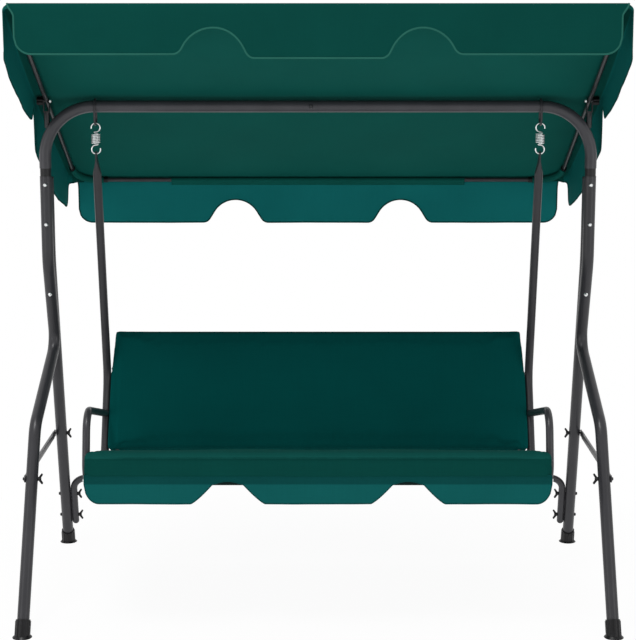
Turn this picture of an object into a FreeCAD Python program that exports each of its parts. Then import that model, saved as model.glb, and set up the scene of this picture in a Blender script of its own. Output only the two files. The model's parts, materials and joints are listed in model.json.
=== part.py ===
import FreeCAD, Part
import math
import os

V = FreeCAD.Vector
X_AXIS = V(1, 0, 0)
Y_AXIS = V(0, 1, 0)
Z_AXIS = V(0, 0, 1)
ORIGIN = V(0, 0, 0)

# Three-seat garden swing with a tilting canopy. Millimetres, +X right, +Y to the rear, +Z up,
# worked out about the top beam; each piece is written with its origin on the ground below the
# middle of the whole outline.

# Steel stock
LEG_OD = 35.0
HANGER_OD = 25.0
ARM_OD = 22.0
BAR_OD = 25.0
BACK_OD = 19.0
CROSSBAR_OD = 22.0
BRACE_OD = 16.0
CANOPY_OD = 13.0
TUBE_WALL = 1.2
SPIGOT_FIT = 0.2
PLUG_LENGTH = 22.0
TUBE_GAP = 0.6
FLAT_THICKNESS = 4.0
END_PLUG_HEIGHT = 4.0

# Gaps between pieces
RUN_GAP = 0.3
HOLE_GAP = 0.15

# Stand: beam, legs, feet
BEAM_Z = 1481.0
POST_X = 808.5
BEAM_BEND_R = 148.5
BEAM_SHOULDER_Z = 1299.0
LEG_TOP_Z = 1275.5
REAR_LEG_TOP_Z = 1266.0
SPIGOT_LENGTH = 62.0
OUTLINE_MIDDLE_Y = 22.9
SHOULDER_LENGTH = 3.0
BEAM_BOLT_X = -20.5
LEG_KINK_Z = 1020.0
LEG_KINK_R = 150.0
FOOT_SPLAY = 34.0
FRONT_FOOT_Y = -428.0
REAR_FOOT_Y = 467.0
REAR_RUN_SLOPE = 22.7
# Bends of the front leg: out from the post, back from the beam, up from the ground
FRONT_SWEEP = (3.5, 113.0, 750.0)
FRONT_SWEEP_R = 62.0
FRONT_KNEE = (17.5, -207.5, 565.0)
FRONT_KNEE_R = 85.0
LEG_END_Z = 5.0
FOOT_SLEEVE_OD = 42.0
FOOT_SLEEVE_HEIGHT = 46.0
FOOT_FLANGE_OD = 56.0
FOOT_FLANGE_HEIGHT = 7.0
FOOT_RIBS = 10
FOOT_RIB_R = 1.6

# Stand fasteners
BOLT_D = 6.0
HEAD_D = 12.0
HEAD_H = 4.5
NUT_AF = 10.0
NUT_H = 5.0
WING_BOSS_D = 12.0
WING_BOSS_H = 9.0
WING_SPAN = 34.0
WING_H = 15.0
WING_THICKNESS = 3.5
LEG_BOLT_Z = (1250.0, 1132.0)
SLANT_BOLT_Z = 922.0
BRACE_Z = 420.0
BRACE_EYE_LENGTH = 30.0
BRACE_TAPER = 30.0
CROSSBAR_Z = 250.0
CROSSBAR_END_Z = 85.0
CROSSBAR_BEND_R = 45.0
CROSSBAR_BOLT_Z = (190.0, 108.0)

# Hanging gear
HANG_X = 657.0
RING_ROD = 6.0
SPRING_TOP_Z = 1434.0
SPRING_WIRE = 4.0
SPRING_COIL_R = 12.0
SPRING_LOOP_R = 13.0
SPRING_PITCH = 4.7
SPRING_TURNS = 6
SPRING_HOOK_RISE = 5.0
SPRING_HOOK_END = 285.0
SELF_GAP_LEAST = 0.4
EYE_HOLE_D = 10.0
EYE_RIM = 6.0
EYE_NECK = 14.0
EYE_TAPER = 42.0
FLAT_WIDTH = 34.0

# Seat, worked out in its own level frame: u runs to the rear, w up from the seat
SEAT_TILT = 14.5
HANGER_LEAN = 11.7
BACK_ANGLE = 11.5
KNEE_R = 130.0
BACK_FOOT_U = -81.5
RAIL_W = 338.0
HANGER_TAIL = 30.0
ARM_W = 537.5
ARM_FRONT_U = -482.0
ARM_BEND_R = 65.0
RAIL_BEND_R = 50.0
FRONT_BAR_U = -430.0
REAR_BAR_U = -138.0
SEAT_BOLT_REACH = 20.0
SLING_THICKNESS = 1.8
SLING_HALF_WIDTH = 598.0
PAD_FRONT_U = -538.0
PAD_RISE = 90.0
PAD_CROWN = 7.0
PAD_HALF_WIDTH = 642.0
PAD_EAR_HALF_WIDTH = 658.0
PAD_POST_GAP = 2.0
PAD_ROLL_DROP = 16.0
PAD_EDGE = 12.0
PAD_DRAW_IN = 9.0
SKIRT_DROP = 63.5
SKIRT_INSET = 3.0
SKIRT_CUT_X = 256.0
SKIRT_CUT_BASE = 210.0
SKIRT_CUT_TOP = 91.0
SKIRT_CUT_HEIGHT = 54.0
SKIRT_CUT_BASE_R = 45.0
SKIRT_CUT_TOP_R = 15.0
SKIRT_WAVES = 9
SKIRT_WAVE = 1.5
SKIRT_CORNER_R = 42.0
BACK_TUBE_X = 620.0
BACK_TUBE_TOP = 446.0
BACK_TUBE_FOOT = 28.0
BACK_TUBE_BEND_R = 60.0
BACK_BOLT_UP = (40.0, 66.0)
SPACER_OD = 16.0
BACK_PAD_HALF_WIDTH = 640.0
BACK_PAD_LOW = 83.0
BACK_PAD_TOP = 468.0
BACK_PAD_THICKNESS = 48.0
BACK_PAD_CROWN = 6.0

# Canopy, worked out level about its hinge line, then tilted
HINGE_Z = 1497.0
CANOPY_TILT = 26.65
CANOPY_FRONT = 582.0
CANOPY_REAR = 632.0
CANOPY_TUBE_INSET = 8.5
BRACKET_PLATE = 2.5
BRACKET_GAP = 0.4
BRACKET_HALF_WIDTH = 8.0
BRACKET_DROP = 30.0
BRACKET_BASE = 4.0
STUB_OD = 16.0
STUB_DEPTH = 45.0
KNOB_D = 24.0
KNOB_H = 18.0
KNOB_LOBES = 6
KNOB_BITE_R = 5.0
KNOB_SKIN = 3.0
ELBOW_OD = 18.0
ELBOW_R = 80.0
ELBOW_LEG = 25.0
ELBOW_STOP = 4.0
CLOTH = 1.6
POCKET_FRONT_X = 690.0
POCKET_REAR_X = 485.0
PANEL_LIP = 8.0
PANEL_STAND_OFF = 1.3
PANEL_TRIM = 6.0
PANEL_RIDGE = 14.0
PANEL_SAG = 15.0
PANEL_CORNER_OUT = 26.0
PANEL_MIDDLE_OUT = 40.0
PANEL_FLAT_IN = 30.0
PANEL_FRONT_R = 25.0
PANEL_REAR_R = 50.0
FRONT_VALANCE_DROP = 118.5
FRONT_MIDDLE_DROP = 10.0
REAR_VALANCE_DROP = 143.5
VALANCE_INSET = 5.0
VALANCE_CUT_X = 274.0
VALANCE_CUT_BASE = 210.0
VALANCE_CUT_TOP = 92.0
VALANCE_CUT_HEIGHT = 76.0
VALANCE_CORNER_R = 45.0
VALANCE_CUT_BASE_R = 50.0
VALANCE_CUT_TOP_R = 80.0
VALANCE_WAVES = 9
VALANCE_WAVE = 2.5
# Side flap corners: place along the canopy's edge, plumb drop below it, corner radius
SIDE_FRONT_CORNERS = ((-576.0, 0.0, 0.0), (-576.0, 118.0, 25.0), (-374.0, 130.0, 150.0), (-55.0, 86.0, 10.0))
SIDE_SLIT_CORNERS = ((-14.0, 36.0, 8.0), (4.0, 33.0, 8.0))
SIDE_REAR_CORNERS = ((34.0, 143.0, 15.0), (342.0, 158.0, 150.0), (577.0, 113.0, 25.0), (577.0, 0.0, 0.0))

FOOT_X = POST_X + FOOT_SPLAY
CANOPY_TUBE_X = POST_X - CANOPY_TUBE_INSET
PANEL_CORNER_X = CANOPY_TUBE_X + PANEL_CORNER_OUT
PANEL_MIDDLE_X = CANOPY_TUBE_X + PANEL_MIDDLE_OUT
VALANCE_HALF_WIDTH = CANOPY_TUBE_X - VALANCE_INSET
SKIRT_HALF_WIDTH = PAD_EAR_HALF_WIDTH - SKIRT_INSET
PANEL_EDGE_Z = ELBOW_OD / 2 + PANEL_STAND_OFF
PANEL_FRONT = CANOPY_FRONT + PANEL_LIP
PANEL_REAR = CANOPY_REAR + PANEL_LIP
ELBOW_MOUTH = ELBOW_R + ELBOW_LEG
LEG_BORE = LEG_OD - 2 * TUBE_WALL
SPIGOT_OD = LEG_BORE - 2 * SPIGOT_FIT
LEG_PITCH = LEG_OD + TUBE_GAP
PAD_TOP_W = RAIL_W + PAD_RISE
PAD_BOTTOM_W = RAIL_W + BAR_OD / 2 + SLING_THICKNESS + 2 * RUN_GAP
PAD_EAR_U = ARM_FRONT_U - ARM_OD / 2 - PAD_POST_GAP
BACK_SLOPE = math.tan(math.radians(BACK_ANGLE))
BACK_HALF_DEPTH = BACK_OD / 2 / math.cos(math.radians(BACK_ANGLE))
PAD_REAR_U = BACK_FOOT_U + (PAD_BOTTOM_W - RAIL_W) * BACK_SLOPE - BACK_HALF_DEPTH - PAD_POST_GAP


def export(name, shape):
    """Write one node as a STEP file, measured from the middle of the outline."""
    shape.translated(V(0, -OUTLINE_MIDDLE_Y, 0)).exportStep("parts/" + name + ".step")


def export_pair(name, right):
    """Write a right-hand piece and its mirror image."""
    export(name + "_right", right)
    export(name + "_left", mirrored(right))


def mirrored(shape):
    return shape.mirror(ORIGIN, X_AXIS)


def both_sides(shapes):
    """The pieces of one side and their mirror images, as one group of solids."""
    return Part.makeCompound(shapes + [mirrored(shape) for shape in shapes])


def unit(vector):
    return V(vector).normalize()


def bend_path(points, radii):
    """Wire of straight runs joined by tangent arcs, with one radius for each inner point."""
    edges = []
    start = points[0]
    for before, corner, after, radius in zip(points, points[1:], points[2:], radii):
        into = unit(corner - before)
        out = unit(after - corner)
        half_turn = into.getAngle(out) / 2
        reach = radius * math.tan(half_turn)
        inside = unit(out - into)
        enter = corner - into * reach
        middle = corner + inside * (radius / math.cos(half_turn) - radius)
        leave = corner + out * reach
        edges.append(Part.LineSegment(start, enter).toShape())
        edges.append(Part.Arc(enter, middle, leave).toShape())
        start = leave
    edges.append(Part.LineSegment(start, points[-1]).toShape())
    return Part.Wire(edges)


def rounded_outline(points, radii):
    """Closed wire through the points, each corner rounded by its radius, or sharp at 0."""
    edges = []
    ends = []
    count = len(points)
    for index, corner in enumerate(points):
        radius = radii[index]
        into = unit(corner - points[index - 1])
        out = unit(points[(index + 1) % count] - corner)
        half_turn = into.getAngle(out) / 2
        reach = radius * math.tan(half_turn)
        inside = unit(out - into)
        middle = corner + inside * (radius / math.cos(half_turn) - radius)
        ends.append((corner - into * reach, middle, corner + out * reach, radius))
    for index, (enter, middle, leave, radius) in enumerate(ends):
        if radius:
            edges.append(Part.Arc(enter, middle, leave).toShape())
        edges.append(Part.LineSegment(leave, ends[(index + 1) % count][0]).toShape())
    return Part.Wire(edges)


def rod(path, diameter):
    """Round bar along a wire."""
    first = path.Edges[0]
    start = first.valueAt(first.FirstParameter)
    heading = first.tangentAt(first.FirstParameter)
    section = Part.Wire(Part.Circle(start, heading, diameter / 2).toShape())
    return path.makePipeShell([section], True, False)


def tube(points, radii, diameter, plug=0.0):
    """Bent tube, open at its ends, or closed there by a welded plug of the given length."""
    outer = rod(bend_path(points, radii), diameter)
    inner_points = list(points)
    inner_points[0] = points[0] + unit(points[1] - points[0]) * plug
    inner_points[-1] = points[-1] + unit(points[-2] - points[-1]) * plug
    return outer.cut(rod(bend_path(inner_points, radii), diameter - 2 * TUBE_WALL))


def cylinder(start, axis, length, diameter):
    return Part.makeCylinder(diameter / 2, length, start, axis)


def ring(start, axis, length, outer, inner):
    return cylinder(start, axis, length, outer).cut(cylinder(start, axis, length, inner))


def drill(shape, point, axis, diameter=BOLT_D + 2 * HOLE_GAP, reach=80.0):
    """Cut a round hole through the shape, both ways from the point."""
    direction = unit(axis)
    return shape.cut(cylinder(point - direction * reach, direction, 2 * reach, diameter))


def on_run(start, end, height):
    """Point of a straight run at a given height."""
    return start + (end - start) * ((height - start.z) / (end.z - start.z))


def pan_bolt(seat, axis, shank):
    """Pan-head bolt: seat is under the head, axis runs down the shank."""
    direction = unit(axis)
    head = Part.makeCone(HEAD_D / 2, HEAD_D / 3, HEAD_H, seat, direction * -1)
    return head.fuse(cylinder(seat, direction, shank, BOLT_D)).removeSplitter()


def hex_nut(seat, axis):
    """Hexagon nut standing on its seat."""
    direction = unit(axis)
    corner = NUT_AF / math.sqrt(3)
    side = direction.cross(Z_AXIS if abs(direction.z) < 0.9 else X_AXIS).normalize()
    up = direction.cross(side)
    corners = []
    for step in range(7):
        angle = math.radians(60 * step)
        corners.append(seat + (side * math.cos(angle) + up * math.sin(angle)) * corner)
    body = Part.Face(Part.makePolygon(corners)).extrude(direction * NUT_H)
    return drill(body, seat, direction, BOLT_D + 2 * HOLE_GAP)


def wing_nut(seat, axis):
    """Moulded wing nut: a tapered boss with two rounded wings that rise from it."""
    direction = unit(axis)
    boss = Part.makeCone(WING_BOSS_D / 2, WING_BOSS_D / 2.6, WING_BOSS_H)
    root = WING_BOSS_D / 4
    tip = WING_SPAN / 2
    points = [V(root, 0, 0), V(root, 0, WING_BOSS_H), V(tip - 4, 0, WING_H), V(tip, 0, WING_H - 4)]
    outline = rounded_outline(points, [0, 2.0, 2.5, 2.0])
    wing = Part.Face(outline).extrude(V(0, WING_THICKNESS, 0))
    wing.translate(V(0, -WING_THICKNESS / 2, 0))
    other = wing.copy()
    other.rotate(ORIGIN, Z_AXIS, 180)
    nut = boss.fuse([wing, other]).removeSplitter()
    nut = drill(nut, ORIGIN, Z_AXIS, BOLT_D + 2 * HOLE_GAP)
    nut.Placement = FreeCAD.Placement(seat, FreeCAD.Rotation(Z_AXIS, direction))
    return nut


def spigot(start, axis, length):
    """Swaged end of a leg-size tube: a shoulder, then a neck that plugs into the next tube."""
    direction = unit(axis)
    shoulder_start = start - direction * SHOULDER_LENGTH
    bore = SPIGOT_OD - 2 * TUBE_WALL
    shoulder = ring(shoulder_start, direction, SHOULDER_LENGTH, LEG_OD, bore)
    return shoulder.fuse(ring(shoulder_start, direction, length + SHOULDER_LENGTH, SPIGOT_OD, bore))


# Leg axes, right side
FRONT_TOP = V(POST_X, 0, LEG_TOP_Z)
FRONT_KINK = V(POST_X, 0, LEG_KINK_Z)
FRONT_TURN = X_AXIS * POST_X + V(*FRONT_SWEEP)
FRONT_BEND = X_AXIS * POST_X + V(*FRONT_KNEE)
FRONT_FOOT = V(FOOT_X, FRONT_FOOT_Y, 0)
REAR_TOP = V(POST_X, LEG_PITCH, REAR_LEG_TOP_Z)
KINK_RISE = LEG_PITCH * math.tan(math.radians(REAR_RUN_SLOPE) / 2)
REAR_KINK = V(POST_X, LEG_PITCH, LEG_KINK_Z + KINK_RISE)
REAR_FOOT = V(FOOT_X, REAR_FOOT_Y, 0)


def beam_half():
    """Right half of the top beam, with the bend and the neck that plugs into the front leg."""
    points = [V(TUBE_GAP, 0, BEAM_Z), V(POST_X, 0, BEAM_Z), V(POST_X, 0, BEAM_SHOULDER_Z)]
    body = tube(points, [BEAM_BEND_R], LEG_OD)
    neck_length = BEAM_SHOULDER_Z - LEG_TOP_Z + SPIGOT_LENGTH
    body = body.fuse(spigot(V(POST_X, 0, BEAM_SHOULDER_Z), Z_AXIS * -1, neck_length))
    return drill(body.removeSplitter(), V(POST_X, 0, LEG_BOLT_Z[0]), Y_AXIS)


def build_beam():
    half = beam_half()
    right = half.fuse(spigot(V(TUBE_GAP, 0, BEAM_Z), X_AXIS * -1, SPIGOT_LENGTH)).removeSplitter()
    bolt_point = V(BEAM_BOLT_X, 0, BEAM_Z)
    export("beam_right", drill(right, bolt_point, Y_AXIS))
    export("beam_left", drill(mirrored(half), bolt_point, Y_AXIS))
    face = V(0, LEG_OD / 2, 0)
    export("beam_bolt", pan_bolt(bolt_point - face, Y_AXIS, LEG_OD + NUT_H + 2))
    export("beam_nut", hex_nut(bolt_point + face, Y_AXIS))


def leg_bolt_places():
    """Middle and direction of each bolt through the two legs of one side."""
    places = [(V(POST_X, LEG_PITCH / 2, height), Y_AXIS) for height in LEG_BOLT_Z]
    front = on_run(FRONT_KINK, FRONT_TURN, SLANT_BOLT_Z)
    run = unit(FRONT_TURN - FRONT_KINK)
    across = run.cross(X_AXIS).normalize()
    across = across if across.y > 0 else across * -1
    places.append((front + across * (LEG_PITCH / 2), across))
    return places


def brace_points():
    """Leg axes at the height of the side brace, front then rear."""
    return on_run(FRONT_BEND, FRONT_FOOT, BRACE_Z), on_run(REAR_KINK, REAR_FOOT, BRACE_Z)


def build_legs():
    front = tube([FRONT_TOP, FRONT_KINK, FRONT_TURN, FRONT_BEND, FRONT_FOOT],
                 [LEG_KINK_R, FRONT_SWEEP_R, FRONT_KNEE_R], LEG_OD)
    rear = tube([REAR_TOP, REAR_KINK, REAR_FOOT], [LEG_KINK_R + LEG_PITCH], LEG_OD)
    reach = 4 * FOOT_FLANGE_OD
    below = Part.makeBox(2 * reach, 2 * reach, reach, V(FOOT_X - reach, -reach, LEG_END_Z - reach))
    front = front.cut(below.translated(V(0, FRONT_FOOT_Y, 0)))
    rear = rear.cut(below.translated(V(0, REAR_FOOT_Y, 0)))
    bolts = []
    nuts = []
    for middle, across in leg_bolt_places():
        front = drill(front, middle, across)
        rear = drill(rear, middle, across)
        half_grip = LEG_PITCH / 2 + LEG_OD / 2
        bolts.append(pan_bolt(middle - across * (half_grip + HOLE_GAP), across, 2 * half_grip + NUT_H + 2))
        nuts.append(hex_nut(middle + across * (half_grip + RUN_GAP), across))
    front_brace, rear_brace = brace_points()
    front = drill(front, front_brace, X_AXIS)
    rear = drill(rear, rear_brace, X_AXIS)
    for height in CROSSBAR_BOLT_Z:
        rear = drill(rear, on_run(REAR_KINK, REAR_FOOT, height), X_AXIS)
    export_pair("front_leg", front)
    export_pair("rear_leg", rear)
    export("leg_bolts", both_sides(bolts))
    export("leg_nuts", both_sides(nuts))
    plug = cylinder(REAR_TOP, Z_AXIS, END_PLUG_HEIGHT, LEG_OD)
    plug = plug.fuse(cylinder(REAR_TOP - Z_AXIS * 12, Z_AXIS, 12, SPIGOT_OD)).removeSplitter()
    export("rear_leg_plugs", both_sides([plug]))


def foot_cap(axis_top, foot):
    """Ribbed plastic shoe: a sleeve along the leg, a floor under its end and a flange."""
    up = unit(axis_top - foot)
    length = FOOT_SLEEVE_HEIGHT / up.z
    start = foot - up * FOOT_SLEEVE_OD
    body = cylinder(start, up, length + FOOT_SLEEVE_OD, FOOT_SLEEVE_OD)
    side = up.cross(X_AXIS).normalize()
    other = up.cross(side)
    for index in range(FOOT_RIBS):
        angle = 2 * math.pi * index / FOOT_RIBS
        offset = (side * math.cos(angle) + other * math.sin(angle)) * (FOOT_SLEEVE_OD / 2)
        rib = cylinder(start + offset, up, length + FOOT_SLEEVE_OD - 4, 2 * FOOT_RIB_R)
        body = body.fuse(rib)
    flange = Part.makeCone(FOOT_FLANGE_OD / 2, FOOT_SLEEVE_OD / 2, FOOT_FLANGE_HEIGHT, foot)
    body = body.fuse(flange)
    reach = 2 * FOOT_FLANGE_OD
    below = Part.makeBox(2 * reach, 2 * reach, reach, foot - V(reach, reach, reach))
    body = body.cut(below)
    socket = cylinder(foot - up * LEG_OD, up, 4 * LEG_OD, LEG_OD + 2 * SPIGOT_FIT)
    socket = socket.cut(below.translated(Z_AXIS * LEG_END_Z))
    return body.cut(socket).removeSplitter()


def build_feet():
    export_pair("front_foot", foot_cap(FRONT_BEND, FRONT_FOOT))
    export_pair("rear_foot", foot_cap(REAR_KINK, REAR_FOOT))


def flat_section(centre, along, wide, width, thickness):
    """Rounded flat section of a flattened tube, square to the direction along."""
    thin = along.cross(wide).normalize()
    half_flat = (width - thickness) / 2
    half = thickness / 2
    a = centre + wide * half_flat + thin * half
    b = centre + wide * half_flat - thin * half
    c = centre - wide * half_flat - thin * half
    d = centre - wide * half_flat + thin * half
    edges = [
        Part.Arc(a, centre + wide * (half_flat + half), b).toShape(),
        Part.LineSegment(b, c).toShape(),
        Part.Arc(c, centre - wide * (half_flat + half), d).toShape(),
        Part.LineSegment(d, a).toShape(),
    ]
    return Part.Wire(edges)


def round_section(centre, along, wide, diameter):
    """Circle in four arcs, starting where flat_section starts."""
    thin = along.cross(wide).normalize()
    radius = diameter / 2
    points = [centre + (wide * math.cos(angle) + thin * math.sin(angle)) * radius
              for angle in [math.radians(45 - 45 * step) for step in range(8)]]
    edges = [Part.Arc(points[index], points[index + 1], points[(index + 2) % 8]).toShape()
             for index in range(0, 8, 2)]
    return Part.Wire(edges)


def build_braces():
    """Side braces: a tube with both ends pressed flat against the outside of the legs."""
    front, rear = brace_points()
    half_leg = LEG_OD / 2
    line_x = max(front.x, rear.x) + half_leg + FLAT_THICKNESS / 2 + RUN_GAP
    ends = [V(line_x, front.y, BRACE_Z), V(line_x, rear.y, BRACE_Z)]
    flat_width = math.pi * BRACE_OD / 2
    solids = []
    for eye, along in ((ends[0], Y_AXIS), (ends[1], Y_AXIS * -1)):
        flat_end = eye + along * BRACE_EYE_LENGTH
        round_end = flat_end + along * BRACE_TAPER
        sections = [flat_section(flat_end, along, Z_AXIS, flat_width, FLAT_THICKNESS),
                    round_section(round_end, along, Z_AXIS, BRACE_OD)]
        solids.append(Part.makeLoft(sections, True, True))
        corner = eye - X_AXIS * (FLAT_THICKNESS / 2)
        disc = cylinder(corner, X_AXIS, FLAT_THICKNESS, flat_width - FLAT_THICKNESS)
        blade = Part.Face(flat_section(eye, along, Z_AXIS, flat_width - FLAT_THICKNESS, FLAT_THICKNESS))
        solids += [disc, blade.extrude(along * BRACE_EYE_LENGTH)]
    reach = BRACE_EYE_LENGTH + BRACE_TAPER
    middle_start = ends[0] + Y_AXIS * reach
    solids.append(cylinder(middle_start, Y_AXIS, ends[1].y - ends[0].y - 2 * reach, BRACE_OD))
    brace = solids[0].fuse(solids[1:]).removeSplitter()
    bolts = []
    wings = []
    for eye, leg in zip(ends, (front, rear)):
        brace = drill(brace, eye, X_AXIS)
        seat = V(line_x + FLAT_THICKNESS / 2, eye.y, eye.z)
        inner = leg - X_AXIS * (half_leg + RUN_GAP)
        bolts.append(pan_bolt(seat, X_AXIS * -1, seat.x - inner.x + WING_BOSS_H - 1))
        wings.append(wing_nut(inner, X_AXIS * -1))
    export_pair("side_brace", brace)
    export("brace_bolts", both_sides(bolts))
    export("brace_wing_nuts", both_sides(wings))


def crossbar_point(height):
    """Axis of the crossbar's down-turned end, beside the rear leg at that height."""
    leg = on_run(REAR_KINK, REAR_FOOT, height)
    return leg - X_AXIS * (LEG_OD / 2 + CROSSBAR_OD / 2 + RUN_GAP)


def build_crossbar():
    corner = crossbar_point(CROSSBAR_Z)
    end = crossbar_point(CROSSBAR_END_Z)
    points = [end, corner, V(-corner.x, corner.y, corner.z), V(-end.x, end.y, end.z)]
    bar = tube(points, [CROSSBAR_BEND_R, CROSSBAR_BEND_R], CROSSBAR_OD)
    bolts = []
    wings = []
    for height in CROSSBAR_BOLT_Z:
        point = crossbar_point(height)
        leg = on_run(REAR_KINK, REAR_FOOT, height)
        bar = drill(bar, point, X_AXIS)
        bar = drill(bar, V(-point.x, point.y, point.z), X_AXIS)
        seat = leg + X_AXIS * (LEG_OD / 2 + RUN_GAP)
        inner = point - X_AXIS * (CROSSBAR_OD / 2 + RUN_GAP)
        bolts.append(pan_bolt(seat, X_AXIS * -1, seat.x - inner.x + WING_BOSS_H - 1))
        wings.append(wing_nut(inner, X_AXIS * -1))
    export("rear_crossbar", bar)
    export("crossbar_bolts", both_sides(bolts))
    export("crossbar_wing_nuts", both_sides(wings))
    down = unit(end - corner)
    cap = Part.makeSphere(CROSSBAR_OD / 2, end, down, 0, 90, 360)
    stem = cylinder(end - down * 10, down, 10, CROSSBAR_OD - 2 * TUBE_WALL - 2 * SPIGOT_FIT)
    export("crossbar_end_plugs", both_sides([cap.fuse(stem).removeSplitter()]))


def spring_mark(angle, height):
    """Point and heading of the coil at an angle in degrees."""
    turn = math.radians(angle)
    point = V(SPRING_COIL_R * math.cos(turn), SPRING_COIL_R * math.sin(turn), height)
    climb = SPRING_PITCH / (2 * math.pi)
    heading = V(-SPRING_COIL_R * math.sin(turn), SPRING_COIL_R * math.cos(turn), climb)
    return point, unit(heading)


def tangent_arc(start, corner, end):
    """Arc from start to end whose end tangents meet at corner."""
    middle = (start + end) * 0.5
    half_chord = start.distanceToPoint(end) / 2
    half_turn = math.atan2(corner.distanceToPoint(middle), half_chord)
    return Part.Arc(start, middle + unit(corner - middle) * (half_chord * math.tan(half_turn / 2)), end)


def biarc(first, last):
    """Two tangent arcs from one point and heading to another."""
    start, out = first
    end, into = last
    gap = end - start
    both = out + into
    lean = gap.dot(both)
    spread = 2 * (1 - out.dot(into))
    reach = (-lean + math.sqrt(lean * lean + spread * gap.dot(gap))) / spread
    first_corner = start + out * reach
    last_corner = end - into * reach
    joint = (first_corner + last_corner) * 0.5
    return [tangent_arc(start, first_corner, joint), tangent_arc(joint, last_corner, end)]


def spring_marks():
    """Marks along the spring, lower hook end to upper hook end, about the spring's middle."""
    half_coil = SPRING_PITCH * SPRING_TURNS / 2
    upper = [spring_mark(90, half_coil)]
    hook_z = half_coil + SPRING_HOOK_RISE
    dip = SPRING_HOOK_RISE / (math.pi * SPRING_COIL_R / 2)
    half = SPRING_COIL_R / 2
    upper.append((V(-half, half, half_coil + SPRING_HOOK_RISE * 0.55), unit(V(0, -1, dip))))
    loop_z = hook_z + SPRING_LOOP_R
    for angle in (0, 90, 180, SPRING_HOOK_END):
        turn = math.radians(angle)
        point = V(SPRING_LOOP_R * math.sin(turn), 0, loop_z - SPRING_LOOP_R * math.cos(turn))
        upper.append((point, V(math.cos(turn), 0, math.sin(turn))))
    coil = [spring_mark(90 + 180 * step, SPRING_PITCH * step / 2 - half_coil)
            for step in range(1, 2 * SPRING_TURNS)]
    lower = [(V(-point.x, point.y, -point.z), V(heading.x, -heading.y, heading.z))
             for point, heading in reversed(upper)]
    return lower + coil + upper


def spring_self_gap(arcs):
    """Least gap between the wire and itself, measured on points along it."""
    points = []
    run = 0.0
    for arc in arcs:
        for step in range(8):
            turn = arc.FirstParameter + (arc.LastParameter - arc.FirstParameter) * step / 8
            points.append((run + arc.length() * step / 8, arc.value(turn)))
        run += arc.length()
    apart = 4 * SPRING_WIRE
    gaps = [a.distanceToPoint(b) - SPRING_WIRE
            for i, (run_a, a) in enumerate(points)
            for run_b, b in points[i + 1:] if run_b - run_a > apart]
    return min(gaps)


def build_springs():
    """Extension springs: a close coil whose ends turn up into open hooks, one unbroken wire."""
    marks = spring_marks()
    arcs = []
    for first, last in zip(marks, marks[1:]):
        arcs += biarc(first, last)
    gap = spring_self_gap(arcs)
    print("spring least gap to itself %.2f mm, wanted over %.1f" % (gap, SELF_GAP_LEAST))
    wire = rod(Part.Wire([arc.toShape() for arc in arcs]), SPRING_WIRE)
    middle_z = SPRING_TOP_Z - spring_half_height()
    left = wire.copy()
    left.translate(V(-HANG_X, 0, middle_z))
    right = wire.copy()
    right.rotate(ORIGIN, Z_AXIS, 180)
    right.translate(V(HANG_X, 0, middle_z))
    export("spring_left", left)
    export("spring_right", right)


def spring_half_height():
    """Half of the spring's length over its hooks."""
    half_coil = SPRING_PITCH * SPRING_TURNS / 2
    return half_coil + SPRING_HOOK_RISE + 2 * SPRING_LOOP_R + SPRING_WIRE / 2


def build_rings():
    """Hanger rings: an oval rod loop round the beam that carries the spring's upper hook."""
    ring_r = LEG_OD / 2 + RUN_GAP + RING_ROD / 2
    low_z = SPRING_TOP_Z - SPRING_WIRE - RUN_GAP - RING_ROD / 2
    low_centre = low_z + ring_r
    edges = [
        Part.LineSegment(V(HANG_X, -ring_r, low_centre), V(HANG_X, -ring_r, BEAM_Z)).toShape(),
        Part.Arc(V(HANG_X, -ring_r, BEAM_Z), V(HANG_X, 0, BEAM_Z + ring_r),
                 V(HANG_X, ring_r, BEAM_Z)).toShape(),
        Part.LineSegment(V(HANG_X, ring_r, BEAM_Z), V(HANG_X, ring_r, low_centre)).toShape(),
        Part.Arc(V(HANG_X, ring_r, low_centre), V(HANG_X, 0, low_z),
                 V(HANG_X, -ring_r, low_centre)).toShape(),
    ]
    export_pair("hanger_ring", rod(Part.Wire(edges), RING_ROD))


def seat_point(x, u, w):
    """Ground-frame point of a place in the seat's level frame."""
    tilt = math.radians(SEAT_TILT)
    return V(x, u * math.cos(tilt) + w * math.sin(tilt), w * math.cos(tilt) - u * math.sin(tilt))


def tilt_seat(shape):
    """Turn a shape made in the seat's level frame to its hanging angle."""
    turned = shape.copy()
    turned.rotate(ORIGIN, X_AXIS, -SEAT_TILT)
    return turned


def lay_back(shape):
    """Turn a shape made on the upright back frame, foot at the origin, to its place."""
    turned = shape.copy()
    turned.rotate(ORIGIN, X_AXIS, -BACK_ANGLE)
    turned.translate(V(0, BACK_FOOT_U, RAIL_W))
    return tilt_seat(turned)


def back_point(x, up):
    """Ground-frame point on the line of the back frame."""
    lean = math.radians(BACK_ANGLE)
    return seat_point(x, BACK_FOOT_U + up * math.sin(lean), RAIL_W + up * math.cos(lean))


def eye_centre():
    """Middle of the hanger's eye: its rim sits just over the spring's lower hook."""
    hook_wire_z = SPRING_TOP_Z - 2 * spring_half_height() + SPRING_WIRE
    return V(HANG_X, 0, hook_wire_z + RUN_GAP - EYE_HOLE_D / 2)


def hanger_points():
    """Axis of the hanger tube: eye, knee where it meets the back's line, and lower end."""
    eye = eye_centre()
    foot = back_point(HANG_X, 0)
    lean = math.tan(math.radians(HANGER_LEAN))
    recline = math.tan(math.radians(SEAT_TILT + BACK_ANGLE))
    knee_z = (eye.z * lean + eye.y - foot.y + foot.z * recline) / (recline + lean)
    knee = V(HANG_X, eye.y + (eye.z - knee_z) * lean, knee_z)
    return eye, knee, back_point(HANG_X, -HANGER_TAIL)


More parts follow.
